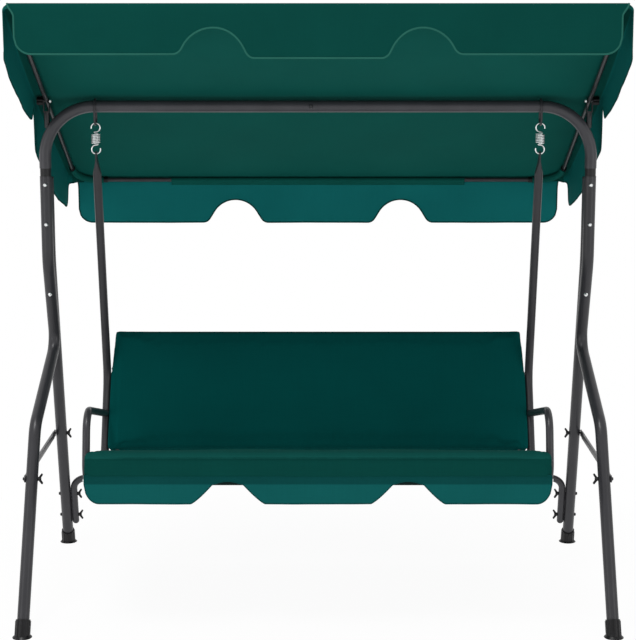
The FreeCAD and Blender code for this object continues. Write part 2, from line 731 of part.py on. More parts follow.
def build_hangers():
    """Hanger tubes: pressed flat into an eye at the top, swept forward along the back."""
    eye, knee, tail = hanger_points()
    down = unit(knee - eye)
    wide = down.cross(X_AXIS).normalize()
    flat_end = eye + down * EYE_NECK
    round_end = flat_end + down * EYE_TAPER
    body = tube([round_end, knee, tail], [KNEE_R], HANGER_OD)
    taper = Part.makeLoft([flat_section(flat_end, down, wide, FLAT_WIDTH, FLAT_THICKNESS),
                           round_section(round_end, down, wide, HANGER_OD)], True, True)
    corner = eye - X_AXIS * (FLAT_THICKNESS / 2)
    rim = cylinder(corner, X_AXIS, FLAT_THICKNESS, EYE_HOLE_D + 2 * EYE_RIM)
    half_rim = EYE_HOLE_D / 2 + EYE_RIM
    blade_points = [corner + wide * half_rim, corner + wide * (FLAT_WIDTH / 2 - 1) + down * EYE_NECK,
                    corner - wide * (FLAT_WIDTH / 2 - 1) + down * EYE_NECK, corner - wide * half_rim]
    blade = Part.Face(Part.makePolygon(blade_points + blade_points[:1])).extrude(X_AXIS * FLAT_THICKNESS)
    body = body.fuse([taper, rim, blade]).removeSplitter()
    body = drill(body, eye, X_AXIS, EYE_HOLE_D, FLAT_THICKNESS)
    for point, axis in arm_bolt_places():
        body = drill(body, point, axis, reach=2 * HANGER_OD)
    for up in BACK_BOLT_UP:
        body = drill(body, back_point(HANG_X, up), X_AXIS)
    export_pair("hanger_tube", body)
    plug = cylinder(tail, unit(tail - back_point(HANG_X, 0)), END_PLUG_HEIGHT, HANGER_OD)
    export("hanger_end_plugs", both_sides([plug]))


def arm_end_u():
    """Place along the seat where the armrest meets the swept part of the hanger."""
    straight = BACK_FOOT_U + (ARM_W - RAIL_W) * BACK_SLOPE
    eye, knee, tail = hanger_points()
    half_turn = math.radians(SEAT_TILT + BACK_ANGLE + HANGER_LEAN) / 2
    bend_start = knee.distanceToPoint(back_point(HANG_X, 0)) - KNEE_R * math.tan(half_turn)
    past = (ARM_W - RAIL_W) / math.cos(math.radians(BACK_ANGLE)) - bend_start
    return straight - max(past, 0) ** 2 / (2 * KNEE_R)


def arm_bolt_places():
    """Point on the hanger axis and direction of the two bolts that hold an armrest."""
    along = seat_point(0, 1, 0)
    return [(seat_point(HANG_X, arm_end_u(), ARM_W), along), (back_point(HANG_X, 0), along)]


def arm_points():
    """Axis of the armrest: back at the hanger, round the front post, back along the seat."""
    return [seat_point(HANG_X, arm_end_u(), ARM_W), seat_point(HANG_X, ARM_FRONT_U, ARM_W),
            seat_point(HANG_X, ARM_FRONT_U, RAIL_W), back_point(HANG_X, 0)]


def build_armrests():
    """Armrest loops: one tube, armrest, front post and seat rail, coped to the hanger."""
    eye, knee, tail = hanger_points()
    radii = [ARM_BEND_R, RAIL_BEND_R]
    hanger = rod(bend_path([eye, knee, tail], [KNEE_R]), HANGER_OD + 2 * HOLE_GAP)
    loop = tube(arm_points(), radii, ARM_OD, HANGER_OD / 2 + PLUG_LENGTH).cut(hanger)
    bolts = []
    for point, along in arm_bolt_places():
        loop = drill(loop, point, along, reach=HANGER_OD / 2 + PLUG_LENGTH + 4)
        seat = point + along * (HANGER_OD / 2 + 2)
        bolts.append(pan_bolt(seat, along * -1, HANGER_OD + SEAT_BOLT_REACH))
    rail_bolts = []
    for u in (FRONT_BAR_U, REAR_BAR_U):
        point = seat_point(HANG_X, u, RAIL_W)
        loop = drill(loop, point, X_AXIS)
        rail_bolts.append(pan_bolt(point + X_AXIS * (ARM_OD / 2), X_AXIS * -1, ARM_OD + SEAT_BOLT_REACH))
    export_pair("armrest", loop)
    export("armrest_bolts", both_sides(bolts))
    export("seat_bar_bolts", both_sides(rail_bolts))


def build_seat_bars():
    """Front and rear seat bars, coped to the rails, and the sling sewn round both."""
    rail = rod(bend_path(arm_points(), [ARM_BEND_R, RAIL_BEND_R]), ARM_OD + 2 * HOLE_GAP)
    half = HANG_X - ARM_OD / 2 + TUBE_WALL
    for name, u in (("seat_front_bar", FRONT_BAR_U), ("seat_rear_bar", REAR_BAR_U)):
        ends = [seat_point(-half, u, RAIL_W), seat_point(half, u, RAIL_W)]
        bar = tube(ends, [], BAR_OD, PLUG_LENGTH).cut(rail).cut(mirrored(rail))
        for end in ends:
            bar = drill(bar, end, X_AXIS, reach=PLUG_LENGTH + 4)
        export(name, bar)
    inner_r = BAR_OD / 2 + RUN_GAP
    outer_r = inner_r + SLING_THICKNESS
    start = V(-SLING_HALF_WIDTH, 0, RAIL_W)
    width = 2 * SLING_HALF_WIDTH
    sleeves = [ring(start + V(0, u, 0), X_AXIS, width, 2 * outer_r, 2 * inner_r)
               for u in (FRONT_BAR_U, REAR_BAR_U)]
    sheet = Part.makeBox(width, REAR_BAR_U - FRONT_BAR_U, SLING_THICKNESS, start + V(0, FRONT_BAR_U, inner_r))
    export("seat_sling", tilt_seat(sheet.fuse(sleeves).removeSplitter()))


def pad_section(x, front, rear, bottom, top, crown, edge):
    """Cushion section at x: flat base, rounded edges and an arched top."""
    middle = (front + rear) / 2
    nose = edge * 0.3
    points = [V(x, front + edge, bottom), V(x, rear - edge, bottom), V(x, rear, bottom + edge),
              V(x, rear, top - edge), V(x, rear - edge, top), V(x, middle, top + crown),
              V(x, front + edge, top), V(x, front, top - edge), V(x, front, bottom + edge)]
    low_rear = V(x, rear - nose, bottom + nose)
    high_rear = V(x, rear - nose, top - nose)
    high_front = V(x, front + nose, top - nose)
    low_front = V(x, front + nose, bottom + nose)
    edges = [Part.LineSegment(points[0], points[1]), Part.Arc(points[1], low_rear, points[2]),
             Part.LineSegment(points[2], points[3]), Part.Arc(points[3], high_rear, points[4]),
             Part.Arc(points[4], points[5], points[6]), Part.Arc(points[6], high_front, points[7]),
             Part.LineSegment(points[7], points[8]), Part.Arc(points[8], low_front, points[0])]
    return Part.Wire([edge_curve.toShape() for edge_curve in edges])


def build_seat_pad():
    """Seat cushion: crowned, its ends drawn in, with a front roll that wraps past the posts."""
    stations = [(-1.0, PAD_DRAW_IN, 0.4), (-0.97, 0.0, 1.0), (-0.4, 0.0, PAD_CROWN),
                (0.4, 0.0, PAD_CROWN), (0.97, 0.0, 1.0), (1.0, PAD_DRAW_IN, 0.4)]
    top = PAD_TOP_W - PAD_EDGE * 0.3
    body = [pad_section(share * PAD_HALF_WIDTH, PAD_FRONT_U + draw, PAD_REAR_U - draw,
                        PAD_BOTTOM_W + draw, top - draw, crown, PAD_EDGE)
            for share, draw, crown in stations]
    roll = [pad_section(share * PAD_EAR_HALF_WIDTH, PAD_FRONT_U + draw, PAD_EAR_U,
                        PAD_BOTTOM_W - PAD_ROLL_DROP + draw, top - draw, 1.0, PAD_EDGE)
            for share, draw, crown in stations]
    cushion = Part.makeLoft(body, True, True).fuse(Part.makeLoft(roll, True, True))
    export("seat_pad", tilt_seat(cushion.removeSplitter()))


def build_skirt():
    """Scalloped cloth skirt that hangs under the front edge of the seat cushion."""
    top_point = seat_point(0, PAD_FRONT_U + PAD_EDGE, PAD_BOTTOM_W - PAD_ROLL_DROP)
    top_z = top_point.z - RUN_GAP - CLOTH * math.tan(math.radians(SEAT_TILT))
    bottom_z = top_z - SKIRT_DROP
    cut = (SKIRT_CUT_BASE, SKIRT_CUT_TOP, SKIRT_CUT_HEIGHT, SKIRT_CUT_BASE_R, SKIRT_CUT_TOP_R)
    outline = scallop(SKIRT_HALF_WIDTH, top_z, bottom_z, SKIRT_CUT_X, cut, SKIRT_CORNER_R)
    strip = wavy_strip(SKIRT_HALF_WIDTH, SKIRT_WAVES, SKIRT_WAVE, bottom_z, top_z)
    export("seat_skirt", trim_cloth(strip, outline).translated(V(0, top_point.y, 0)))


def wavy_strip(half_width, waves, wave, bottom, top):
    """Upright cloth strip, straight along its top, whose folds grow towards the bottom."""
    pitch = 2 * half_width / waves
    sections = []
    for swing, height in ((wave, bottom), (0.0, top)):
        near = []
        far = []
        for index in range(waves):
            x = -half_width + index * pitch
            bulge = -swing if index % 2 else swing
            points = [V(x, 0, height), V(x + pitch / 2, bulge, height), V(x + pitch, 0, height)]
            back = [point + V(0, CLOTH, 0) for point in reversed(points)]
            near.append(fold_edge(points, swing))
            far.append(fold_edge(back, swing))
        ends = [V(half_width, 0, height), V(-half_width, CLOTH, height)]
        right = Part.LineSegment(ends[0], ends[0] + V(0, CLOTH, 0)).toShape()
        left = Part.LineSegment(ends[1], ends[1] - V(0, CLOTH, 0)).toShape()
        sections.append(Part.Wire(near + [right] + far[::-1] + [left]))
    return Part.makeLoft(sections, True, True)


def fold_edge(points, swing):
    """One fold of a cloth strip: an arc, or a straight edge where the cloth is held flat."""
    curve = Part.Arc(*points) if swing else Part.LineSegment(points[0], points[2])
    return curve.toShape()


def trim_cloth(strip, outline):
    """The part of a cloth strip inside an outline in the XZ plane."""
    cutter = Part.Face(outline).extrude(V(0, 20 * CLOTH, 0))
    return strip.common(cutter.translated(V(0, -10 * CLOTH, 0)))


def scallop(half_width, top, bottom, cut_x, cut, corner_r, middle_drop=0.0):
    """Outline in the XZ plane of a flap with two bell-shaped cut-outs and a longer middle."""
    cut_base, cut_top, cut_height, base_r, top_r = cut
    left = []
    radii = [0.0, corner_r]
    for offset, height, radius in ((-cut_base / 2, 0, base_r), (-cut_top / 2, cut_height, top_r),
                                   (cut_top / 2, cut_height, top_r), (cut_base / 2, -middle_drop, base_r)):
        left.append(V(-cut_x + offset, 0, bottom + height))
        radii.append(radius)
    right = [V(-point.x, 0, point.z) for point in reversed(left)]
    points = [V(-half_width, 0, top), V(-half_width, 0, bottom)] + left + right
    points += [V(half_width, 0, bottom), V(half_width, 0, top)]
    return rounded_outline(points, radii + radii[::-1])


def build_back():
    """Back frame, its spacers and bolts, and the cushion that is pulled over it."""
    points = [V(-BACK_TUBE_X, 0, BACK_TUBE_FOOT), V(-BACK_TUBE_X, 0, BACK_TUBE_TOP),
              V(BACK_TUBE_X, 0, BACK_TUBE_TOP), V(BACK_TUBE_X, 0, BACK_TUBE_FOOT)]
    radii = [BACK_TUBE_BEND_R, BACK_TUBE_BEND_R]
    frame = tube(points, radii, BACK_OD)
    spacers = []
    bolts = []
    nuts = []
    spacer_start = BACK_TUBE_X + BACK_OD / 2
    spacer_length = HANG_X - HANGER_OD / 2 - spacer_start
    for up in BACK_BOLT_UP:
        frame = drill(frame, V(0, 0, up), X_AXIS, reach=HANG_X)
        place = back_point(0, up)
        spacer = ring(place + X_AXIS * spacer_start, X_AXIS, spacer_length, SPACER_OD,
                      BOLT_D + 2 * HOLE_GAP)
        spacers.append(spacer)
        head = place + X_AXIS * (HANG_X + HANGER_OD / 2)
        inner = place + X_AXIS * (BACK_TUBE_X - BACK_OD / 2)
        bolts.append(pan_bolt(head, X_AXIS * -1, head.x - inner.x + NUT_H + 2))
        nuts.append(hex_nut(inner, X_AXIS * -1))
    export("back_frame", lay_back(frame))
    export("back_spacers", both_sides(spacers))
    export("back_bolts", both_sides(bolts))
    export("back_nuts", both_sides(nuts))
    half = BACK_PAD_THICKNESS / 2
    stations = [(-1.0, PAD_DRAW_IN * 0.7, 0.5), (-0.98, 0.0, 1.0), (-0.4, 0.0, BACK_PAD_CROWN),
                (0.4, 0.0, BACK_PAD_CROWN), (0.98, 0.0, 1.0), (1.0, PAD_DRAW_IN * 0.7, 0.5)]
    sections = [pad_section(share * BACK_PAD_HALF_WIDTH, BACK_PAD_LOW + draw, BACK_PAD_TOP - draw,
                            -half + draw, half - draw, crown, PAD_EDGE)
                for share, draw, crown in stations]
    cushion = Part.makeLoft(sections, True, True)
    cushion.rotate(ORIGIN, X_AXIS, 90)
    cavity = rod(bend_path(points, radii), BACK_OD + 2 * RUN_GAP)
    export("back_pad", lay_back(cushion.cut(cavity)))


def set_canopy(shape):
    """Turn a shape made level about the hinge line to the canopy's tilt."""
    turned = shape.copy()
    turned.rotate(ORIGIN, X_AXIS, -CANOPY_TILT)
    turned.translate(V(0, 0, HINGE_Z))
    return turned


def build_brackets():
    """Canopy brackets: a stub on the beam's bend that carries a fork for the side tube."""
    inner = CANOPY_OD / 2 + BRACKET_GAP
    cheek = Part.makeCylinder(BRACKET_HALF_WIDTH, BRACKET_PLATE, V(0, 0, HINGE_Z), X_AXIS)
    plate = Part.makeBox(BRACKET_PLATE, 2 * BRACKET_HALF_WIDTH, BRACKET_DROP,
                         V(0, -BRACKET_HALF_WIDTH, HINGE_Z - BRACKET_DROP))
    cheek = cheek.fuse(plate)
    outside = inner + BRACKET_PLATE
    base = Part.makeBox(2 * outside, 2 * BRACKET_HALF_WIDTH, BRACKET_BASE,
                        V(CANOPY_TUBE_X - outside, -BRACKET_HALF_WIDTH,
                          HINGE_Z - BRACKET_DROP - BRACKET_BASE))
    stub_top = HINGE_Z - BRACKET_DROP - BRACKET_BASE
    stub = cylinder(V(CANOPY_TUBE_X, 0, stub_top - STUB_DEPTH), Z_AXIS, STUB_DEPTH, STUB_OD)
    beam = rod(bend_path([V(0, 0, BEAM_Z), V(POST_X, 0, BEAM_Z), V(POST_X, 0, LEG_TOP_Z)],
                         [BEAM_BEND_R]), LEG_OD)
    pieces = [cheek.translated(V(CANOPY_TUBE_X + inner, 0, 0)),
              cheek.translated(V(CANOPY_TUBE_X - outside, 0, 0)), stub]
    bracket = base.fuse(pieces).removeSplitter().cut(beam)
    bracket = max(bracket.Solids, key=lambda solid: solid.BoundBox.ZMax)
    hinge = V(CANOPY_TUBE_X, 0, HINGE_Z)
    export_pair("canopy_bracket", drill(bracket, hinge, X_AXIS))
    seat = hinge - X_AXIS * outside
    export("canopy_bolts", both_sides([pan_bolt(seat, X_AXIS, 2 * outside + KNOB_H - KNOB_SKIN)]))
    knob = cylinder(ORIGIN, X_AXIS, KNOB_H, KNOB_D)
    for index in range(KNOB_LOBES):
        angle = 2 * math.pi * index / KNOB_LOBES
        away = KNOB_D / 2 + KNOB_BITE_R * 0.5
        bite = V(-1, away * math.cos(angle), away * math.sin(angle))
        knob = knob.cut(cylinder(bite, X_AXIS, KNOB_H + 2, 2 * KNOB_BITE_R))
    knob = knob.cut(cylinder(ORIGIN, X_AXIS, KNOB_H - KNOB_SKIN + 2 * RUN_GAP, BOLT_D + 2 * HOLE_GAP))
    export_pair("canopy_knob", knob.translated(hinge + X_AXIS * (outside + RUN_GAP)))


def build_canopy_frame():
    """Canopy frame: two side tubes and two cross bars joined by moulded elbows."""
    inset = ELBOW_R + ELBOW_STOP
    ends = [V(CANOPY_TUBE_X, inset - CANOPY_FRONT, 0), V(CANOPY_TUBE_X, CANOPY_REAR - inset, 0)]
    side = drill(tube(ends, [], CANOPY_OD), V(CANOPY_TUBE_X, 0, 0), X_AXIS, reach=CANOPY_OD)
    export_pair("canopy_side_tube", set_canopy(side))
    half = CANOPY_TUBE_X - inset
    elbows = []
    for name, y, inward in (("front", -CANOPY_FRONT, 1), ("rear", CANOPY_REAR, -1)):
        bar = tube([V(-half, y, 0), V(half, y, 0)], [], CANOPY_OD)
        export("canopy_" + name + "_bar", set_canopy(bar))
        corner = V(CANOPY_TUBE_X, y, 0)
        axes = (X_AXIS * -1, Y_AXIS * inward)
        mouths = [corner + axis * ELBOW_MOUTH for axis in axes]
        elbow = rod(bend_path([mouths[0], corner, mouths[1]], [ELBOW_R]), ELBOW_OD)
        for axis in axes:
            elbow = elbow.cut(cylinder(corner + axis * inset, axis, ELBOW_LEG, CANOPY_OD))
        elbows.append(set_canopy(elbow))
    export("canopy_elbows", both_sides(elbows))


def panel_section(x, sag):
    """Cut through the untrimmed top cloth at x: bar, dip, ridge over the beam, dip, bar."""
    front = PANEL_FRONT + PANEL_TRIM
    rear = PANEL_REAR + PANEL_TRIM
    dip_z = (PANEL_EDGE_Z + PANEL_RIDGE) / 2 - sag
    low = [V(x, -front, PANEL_EDGE_Z), V(x, -front / 2, dip_z), V(x, 0, PANEL_RIDGE),
           V(x, rear / 2, dip_z), V(x, rear, PANEL_EDGE_Z)]
    high = [point + V(0, 0, CLOTH) for point in low]
    edges = [Part.Arc(low[0], low[1], low[2]), Part.Arc(low[2], low[3], low[4]),
             Part.LineSegment(low[4], high[4]), Part.Arc(high[4], high[3], high[2]),
             Part.Arc(high[2], high[1], high[0]), Part.LineSegment(high[0], low[0])]
    return Part.Wire([edge.toShape() for edge in edges])


def panel_plan():
    """Block whose outline is the plan of the top cloth: bowed sides and rounded corners."""
    low = -4 * PANEL_RIDGE
    right = [V(PANEL_CORNER_X, -PANEL_FRONT, low), V(PANEL_CORNER_X, PANEL_REAR, low)]
    left = [V(-PANEL_CORNER_X, PANEL_REAR, low), V(-PANEL_CORNER_X, -PANEL_FRONT, low)]
    edges = [Part.Arc(right[0], V(PANEL_MIDDLE_X, 0, low), right[1]), Part.LineSegment(right[1], left[0]),
             Part.Arc(left[0], V(-PANEL_MIDDLE_X, 0, low), left[1]), Part.LineSegment(left[1], right[0])]
    block = Part.Face(Part.Wire([edge.toShape() for edge in edges])).extrude(V(0, 0, -2 * low))
    for y, radius in ((-PANEL_FRONT, PANEL_FRONT_R), (PANEL_REAR, PANEL_REAR_R)):
        upright = [edge for edge in block.Edges
                   if edge.BoundBox.ZLength > -low and abs(edge.CenterOfMass.y - y) < CLOTH]
        block = block.makeFillet(radius, upright)
    return block


def build_canopy_cloth():
    """Sewn cover: a top panel that dips between its supports, and four scalloped flaps."""
    edge_x = PANEL_MIDDLE_X + CLOTH
    flat_x = CANOPY_TUBE_X - PANEL_FLAT_IN
    stations = [(-edge_x, 0.5), (-flat_x, 0.5), (-0.7 * flat_x, 0.6 * PANEL_SAG),
                (-0.35 * flat_x, PANEL_SAG), (0.35 * flat_x, PANEL_SAG),
                (0.7 * flat_x, 0.6 * PANEL_SAG), (flat_x, 0.5), (edge_x, 0.5)]
    sheet = Part.makeLoft([panel_section(x, sag) for x, sag in stations], True, True)
    export("canopy_top_panel", set_canopy(sheet.common(panel_plan())))
    export_pair("canopy_side_valance", set_canopy(side_valance()))
    tilt = math.radians(CANOPY_TILT)
    for name, along, pocket, drop, middle_drop in (
            ("front", -CANOPY_FRONT, POCKET_FRONT_X, FRONT_VALANCE_DROP, FRONT_MIDDLE_DROP),
            ("rear", CANOPY_REAR, POCKET_REAR_X, REAR_VALANCE_DROP, 0.0)):
        bar = V(0, along * math.cos(tilt), HINGE_Z - along * math.sin(tilt))
        flap = hanging_valance(pocket, drop, middle_drop)
        if along < 0:
            flap = flap.mirror(ORIGIN, Y_AXIS)
        export("canopy_" + name + "_valance", flap.translated(bar))


def side_valance():
    """Side flap, made level: it follows the panel's bowed edge and is slit round the post."""
    tilt = math.radians(CANOPY_TILT)
    edge_z = PANEL_EDGE_Z - 2 * RUN_GAP
    corners = SIDE_FRONT_CORNERS + SIDE_SLIT_CORNERS + SIDE_REAR_CORNERS
    points = [V(0, along + drop * math.sin(tilt), edge_z - drop * math.cos(tilt))
              for along, drop, radius in corners]
    outline = rounded_outline(points, [radius for along, drop, radius in corners])
    depth = max(drop for along, drop, radius in corners)
    rows = []
    for x in (-CLOTH, 0):
        rows.append(Part.Arc(V(PANEL_CORNER_X + x, -PANEL_FRONT, edge_z - depth),
                             V(PANEL_MIDDLE_X + x, 0, edge_z - depth),
                             V(PANEL_CORNER_X + x, PANEL_REAR, edge_z - depth)))
    ends = [Part.LineSegment(rows[0].EndPoint, rows[1].EndPoint),
            Part.LineSegment(rows[1].StartPoint, rows[0].StartPoint)]
    strip = Part.Face(Part.Wire([edge.toShape() for edge in [rows[0], ends[0], rows[1], ends[1]]]))
    strip = strip.extrude(V(0, 0, depth))
    return strip.common(Part.Face(outline).extrude(V(2 * CANOPY_TUBE_X, 0, 0)))


def hanging_valance(pocket, drop, middle_drop):
    """End flap hanging plumb from its bar, about the bar's axis, with a sewn pole pocket."""
    inner_r = CANOPY_OD / 2 + RUN_GAP
    cut = (VALANCE_CUT_BASE, VALANCE_CUT_TOP, VALANCE_CUT_HEIGHT, VALANCE_CUT_BASE_R, VALANCE_CUT_TOP_R)
    outline = scallop(VALANCE_HALF_WIDTH, 0, -drop, VALANCE_CUT_X, cut, VALANCE_CORNER_R, middle_drop)
    strip = wavy_strip(VALANCE_HALF_WIDTH, VALANCE_WAVES, VALANCE_WAVE, -drop - middle_drop, 0)
    flap = trim_cloth(strip, outline).translated(V(0, inner_r + RUN_GAP, 0))
    elbow_start = CANOPY_TUBE_X - ELBOW_MOUTH - RUN_GAP
    for side in (-1, 1):
        axis = X_AXIS * side
        flap = flap.cut(cylinder(axis * elbow_start, axis, ELBOW_MOUTH, ELBOW_OD + 2 * RUN_GAP))
    sleeve = ring(V(-pocket, 0, 0), X_AXIS, 2 * pocket, 2 * (inner_r + CLOTH), 2 * inner_r)
    return flap.fuse(sleeve).removeSplitter()


def main():
    os.makedirs("parts", exist_ok=True)
    build_beam()
    build_legs()
    build_feet()
    build_braces()
    build_crossbar()
    build_rings()
    build_springs()
    build_hangers()
    build_armrests()
    build_seat_bars()
    build_seat_pad()
    build_skirt()
    build_back()
    build_brackets()
    build_canopy_frame()
    build_canopy_cloth()


main()
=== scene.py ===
import json
import math

import bpy
import numpy as np
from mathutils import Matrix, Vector


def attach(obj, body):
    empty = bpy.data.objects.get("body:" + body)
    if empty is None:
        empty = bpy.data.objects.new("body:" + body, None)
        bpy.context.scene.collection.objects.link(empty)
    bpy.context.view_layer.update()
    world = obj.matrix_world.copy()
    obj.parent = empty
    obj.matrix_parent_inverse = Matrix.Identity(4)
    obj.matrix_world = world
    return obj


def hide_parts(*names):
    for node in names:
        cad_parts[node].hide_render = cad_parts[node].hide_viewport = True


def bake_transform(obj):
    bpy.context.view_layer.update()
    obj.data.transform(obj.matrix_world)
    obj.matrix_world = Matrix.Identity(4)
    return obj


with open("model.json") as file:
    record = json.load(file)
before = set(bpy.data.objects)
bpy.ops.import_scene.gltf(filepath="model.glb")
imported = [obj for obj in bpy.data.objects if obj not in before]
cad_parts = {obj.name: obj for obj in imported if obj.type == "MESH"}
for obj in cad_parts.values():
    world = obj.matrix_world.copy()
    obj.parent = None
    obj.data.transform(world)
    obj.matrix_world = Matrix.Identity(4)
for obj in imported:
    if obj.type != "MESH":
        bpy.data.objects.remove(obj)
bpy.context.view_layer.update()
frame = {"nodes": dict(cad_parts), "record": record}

# The beam stands this far in front of the frame's origin
MIDDLE_Y = 0.0229

# Canopy: s runs along it to the rear, n stands off it
HINGE_Z = 1.497
CANOPY_TILT = math.radians(26.65)
BARS_S = {"front": -0.582, "rear": 0.632}
LIPS_S = {"front": -0.590, "rear": 0.640}
TUBE_R = 0.0065
ELBOW_BEND_R = 0.080
ELBOW_X = 0.800
PANEL_N = 0.0108
RIDGE_N = 0.0148
SAG = 0.015
CORNER_X = 0.826
MIDDLE_X = 0.840
FOLD_R = 0.010
CORNER_R = {"front": 0.022, "rear": 0.050}

# Cloth thickness, the period of its weave, and how far it hangs from the middle of a bar
CLOTH = 0.0016
POCKET_CLOTH = 0.0010
WEAVE = 0.0021
HANG = 0.0106

# End flaps: half width, and width and height of a round lower corner
FLAP_HALF = 0.7955
FLAP_CORNER = (0.045, 0.045)
FLAP_TURN = 0.014

# Side flap: place along the canopy's edge and plumb drop below it
SIDE_FLAP = [(-0.5762, 0.014), (-0.5760, 0.1180), (-0.5742, 0.1290), (-0.5685, 0.1350), (-0.556, 0.1370),
             (-0.4826, 0.1358), (-0.40, 0.1310), (-0.351, 0.1265), (-0.26, 0.1185), (-0.176, 0.1100),
             (-0.11, 0.0990), (-0.075, 0.0922), (-0.056, 0.0875), (-0.046, 0.0835), (-0.038, 0.0775),
             (-0.029, 0.0680), (-0.018, 0.0510), (-0.010, 0.0395), (-0.005, 0.0355), (-0.001, 0.0375),
             (0.001, 0.0480), (0.003, 0.1000),
             (0.005, 0.1380), (0.008, 0.1510), (0.015, 0.1565), (0.040, 0.1560), (0.118, 0.1535),
             (0.25, 0.1545), (0.342, 0.1555), (0.43, 0.1465), (0.52, 0.1290), (0.555, 0.1225),
             (0.5726, 0.1180), (0.587, 0.1105), (0.596, 0.0990), (0.600, 0.0860), (0.602, 0.0700),
             (0.604, 0.0500), (0.607, 0.0370), (0.612, 0.0285), (0.620, 0.0235), (0.627, 0.0205),
             (0.634, 0.0150), (0.640, 0.0120)]

# Cut-outs of the end flaps: middle, half width, height, radius of the round top and of its feet
CUTS = {"front": (0.274, 0.1075, 0.0685, 0.090, 0.028), "rear": (0.274, 0.1085, 0.0760, 0.0825, 0.028)}

# Seat: u runs to the rear, w up, both tilted
SEAT_TILT = math.radians(14.5)
BACK_ANGLE = math.radians(11.5)
BACK_FOOT = (-0.0815, 0.338)
RAIL_W = 0.338
BARS_U = (-0.430, -0.138)
BAR_R = 0.0125
PAD_HALF = 0.639
PAD_LOW = (-0.524, 0.3535)
PAD_HIGH = (-0.0925, 0.4205)
PAD_END_R = 0.014
EAR_HALF = 0.6555
EAR_END_R = 0.020
SITTERS_X = (-0.425, 0.0, 0.425)

# Front roll of the seat cushion: its section round a middle, and the height of the seam on its face
SEAM_W = 0.3995
ROLL_MIDDLE = (-0.517, 0.382)
ROLL = [(-0.4972, 0.3430), (-0.4972, 0.4135), (-0.5050, 0.4190), (-0.5170, 0.4198), (-0.5250, 0.4178),
        (-0.5310, 0.4130), (-0.5348, 0.4070), (-0.5362, SEAM_W), (-0.5374, 0.3900), (-0.5378, 0.3760),
        (-0.5376, 0.3600), (-0.5370, 0.3500), (-0.5348, 0.3430), (-0.5290, 0.3388), (-0.5200, 0.3378),
        (-0.5030, 0.3380)]

# Back cushion: half width, lower and upper end up its slope, half thickness
BACK_HALF = 0.636
BACK_UP = (0.0855, 0.4655)
BACK_OUT = 0.0215
BACK_END_R = 0.009

# Skirt under the front of the seat cushion, plumb in the shared frame
SKIRT_Y = -0.4300
SKIRT_TOP = 0.4770
SKIRT_LOW = 0.3945
# Painted shade on the skirt reaches down to this height, where the cushion behind it ends
SKIRT_SHADE_LOW = 0.4515
SKIRT_HALF = 0.655
SKIRT_CORNER = (0.042, 0.056)
SKIRT_CUT = {"middle": 0.2525, "half": 0.1045, "top": 0.0435, "height": 0.0555,
             "arch": 0.0095, "arch_half": 0.041}

# Heights between which the beam's necks show dark
NECK_Z = (1.2755, 1.299)

# Camera: focal length and frame height in pixels, place, and angle up from straight down
FOCAL_PX = 1655.0
FRAME_PX = 640.0
SENSOR_MM = 36.0
CAMERA_PLACE = (0.0, -4.914 - MIDDLE_Y, 1.708)
CAMERA_ANGLE = math.radians(80.0)

# Colours as linear light
GREEN = (0.0033, 0.0640, 0.0525)
# Front flap: the canopy's green darkened, painted shade on the same cloth
FRONT_SHADE_GREEN = (0.0022, 0.0445, 0.0365)
# Side flaps: the canopy's green lightened, painted light on the same cloth
FLAP_LIT_GREEN = (0.0035, 0.0980, 0.0900)
# Rear flap: a lighter copy of the canopy's green, painted light for light coming through the thin cloth
REAR_LIT_GREEN = (0.0060, 0.1340, 0.1330)
PAD_GREEN = (0.0040, 0.0570, 0.0490)
# Seat cushion's front face: the seat green darkened, painted shade
FACE_SHADE_GREEN = (0.0018, 0.0410, 0.0345)
# Back cushion: a brighter copy of the cushion green, painted light
BACK_LIT_GREEN = (0.0006, 0.0660, 0.0620)
# Skirt: a lighter green, painted light for light coming through the thin cloth from behind
SKIRT_LIT_GREEN = (0.0042, 0.0790, 0.0760)
BINDING_GREEN = (0.0165, 0.0930, 0.0730)
HEM_GREEN = (0.0020, 0.0400, 0.0340)
SLING_GREEN = (0.0050, 0.0140, 0.0125)
CHARCOAL = (0.0250, 0.0248, 0.0285)
ZINC = (0.7800, 0.8000, 0.8000)
BLACK = (0.0060, 0.0058, 0.0066)


def canopy_point(x, s, n):
    """Place in the shared frame of a point of the canopy."""
    y = s * math.cos(CANOPY_TILT) + n * math.sin(CANOPY_TILT) - MIDDLE_Y
    z = HINGE_Z - s * math.sin(CANOPY_TILT) + n * math.cos(CANOPY_TILT)
    return (x, y, z)


def seat_point(x, u, w):
    """Place in the shared frame of a point of the seat."""
    y = u * math.cos(SEAT_TILT) + w * math.sin(SEAT_TILT) - MIDDLE_Y
    z = w * math.cos(SEAT_TILT) - u * math.sin(SEAT_TILT)
    return (x, y, z)


def back_point(x, up, out):
    """Place in the shared frame of a point of the back: up its slope, out towards the sitter."""
    u = BACK_FOOT[0] + up * math.sin(BACK_ANGLE) - out * math.cos(BACK_ANGLE)
    w = BACK_FOOT[1] + up * math.cos(BACK_ANGLE) + out * math.sin(BACK_ANGLE)
    return seat_point(x, u, w)


def ease(value, low, high):
    """Smooth step from 0 at low to 1 at high."""
    share = min(max((value - low) / (high - low), 0.0), 1.0)
    return share * share * (3 - 2 * share)


# Materials

def new_material(name):
    """New node material with its nodes, links and main shader."""
    material = bpy.data.materials.new(name)
    material.use_nodes = True
    nodes = material.node_tree.nodes
    return material, nodes, material.node_tree.links, nodes["Principled BSDF"]


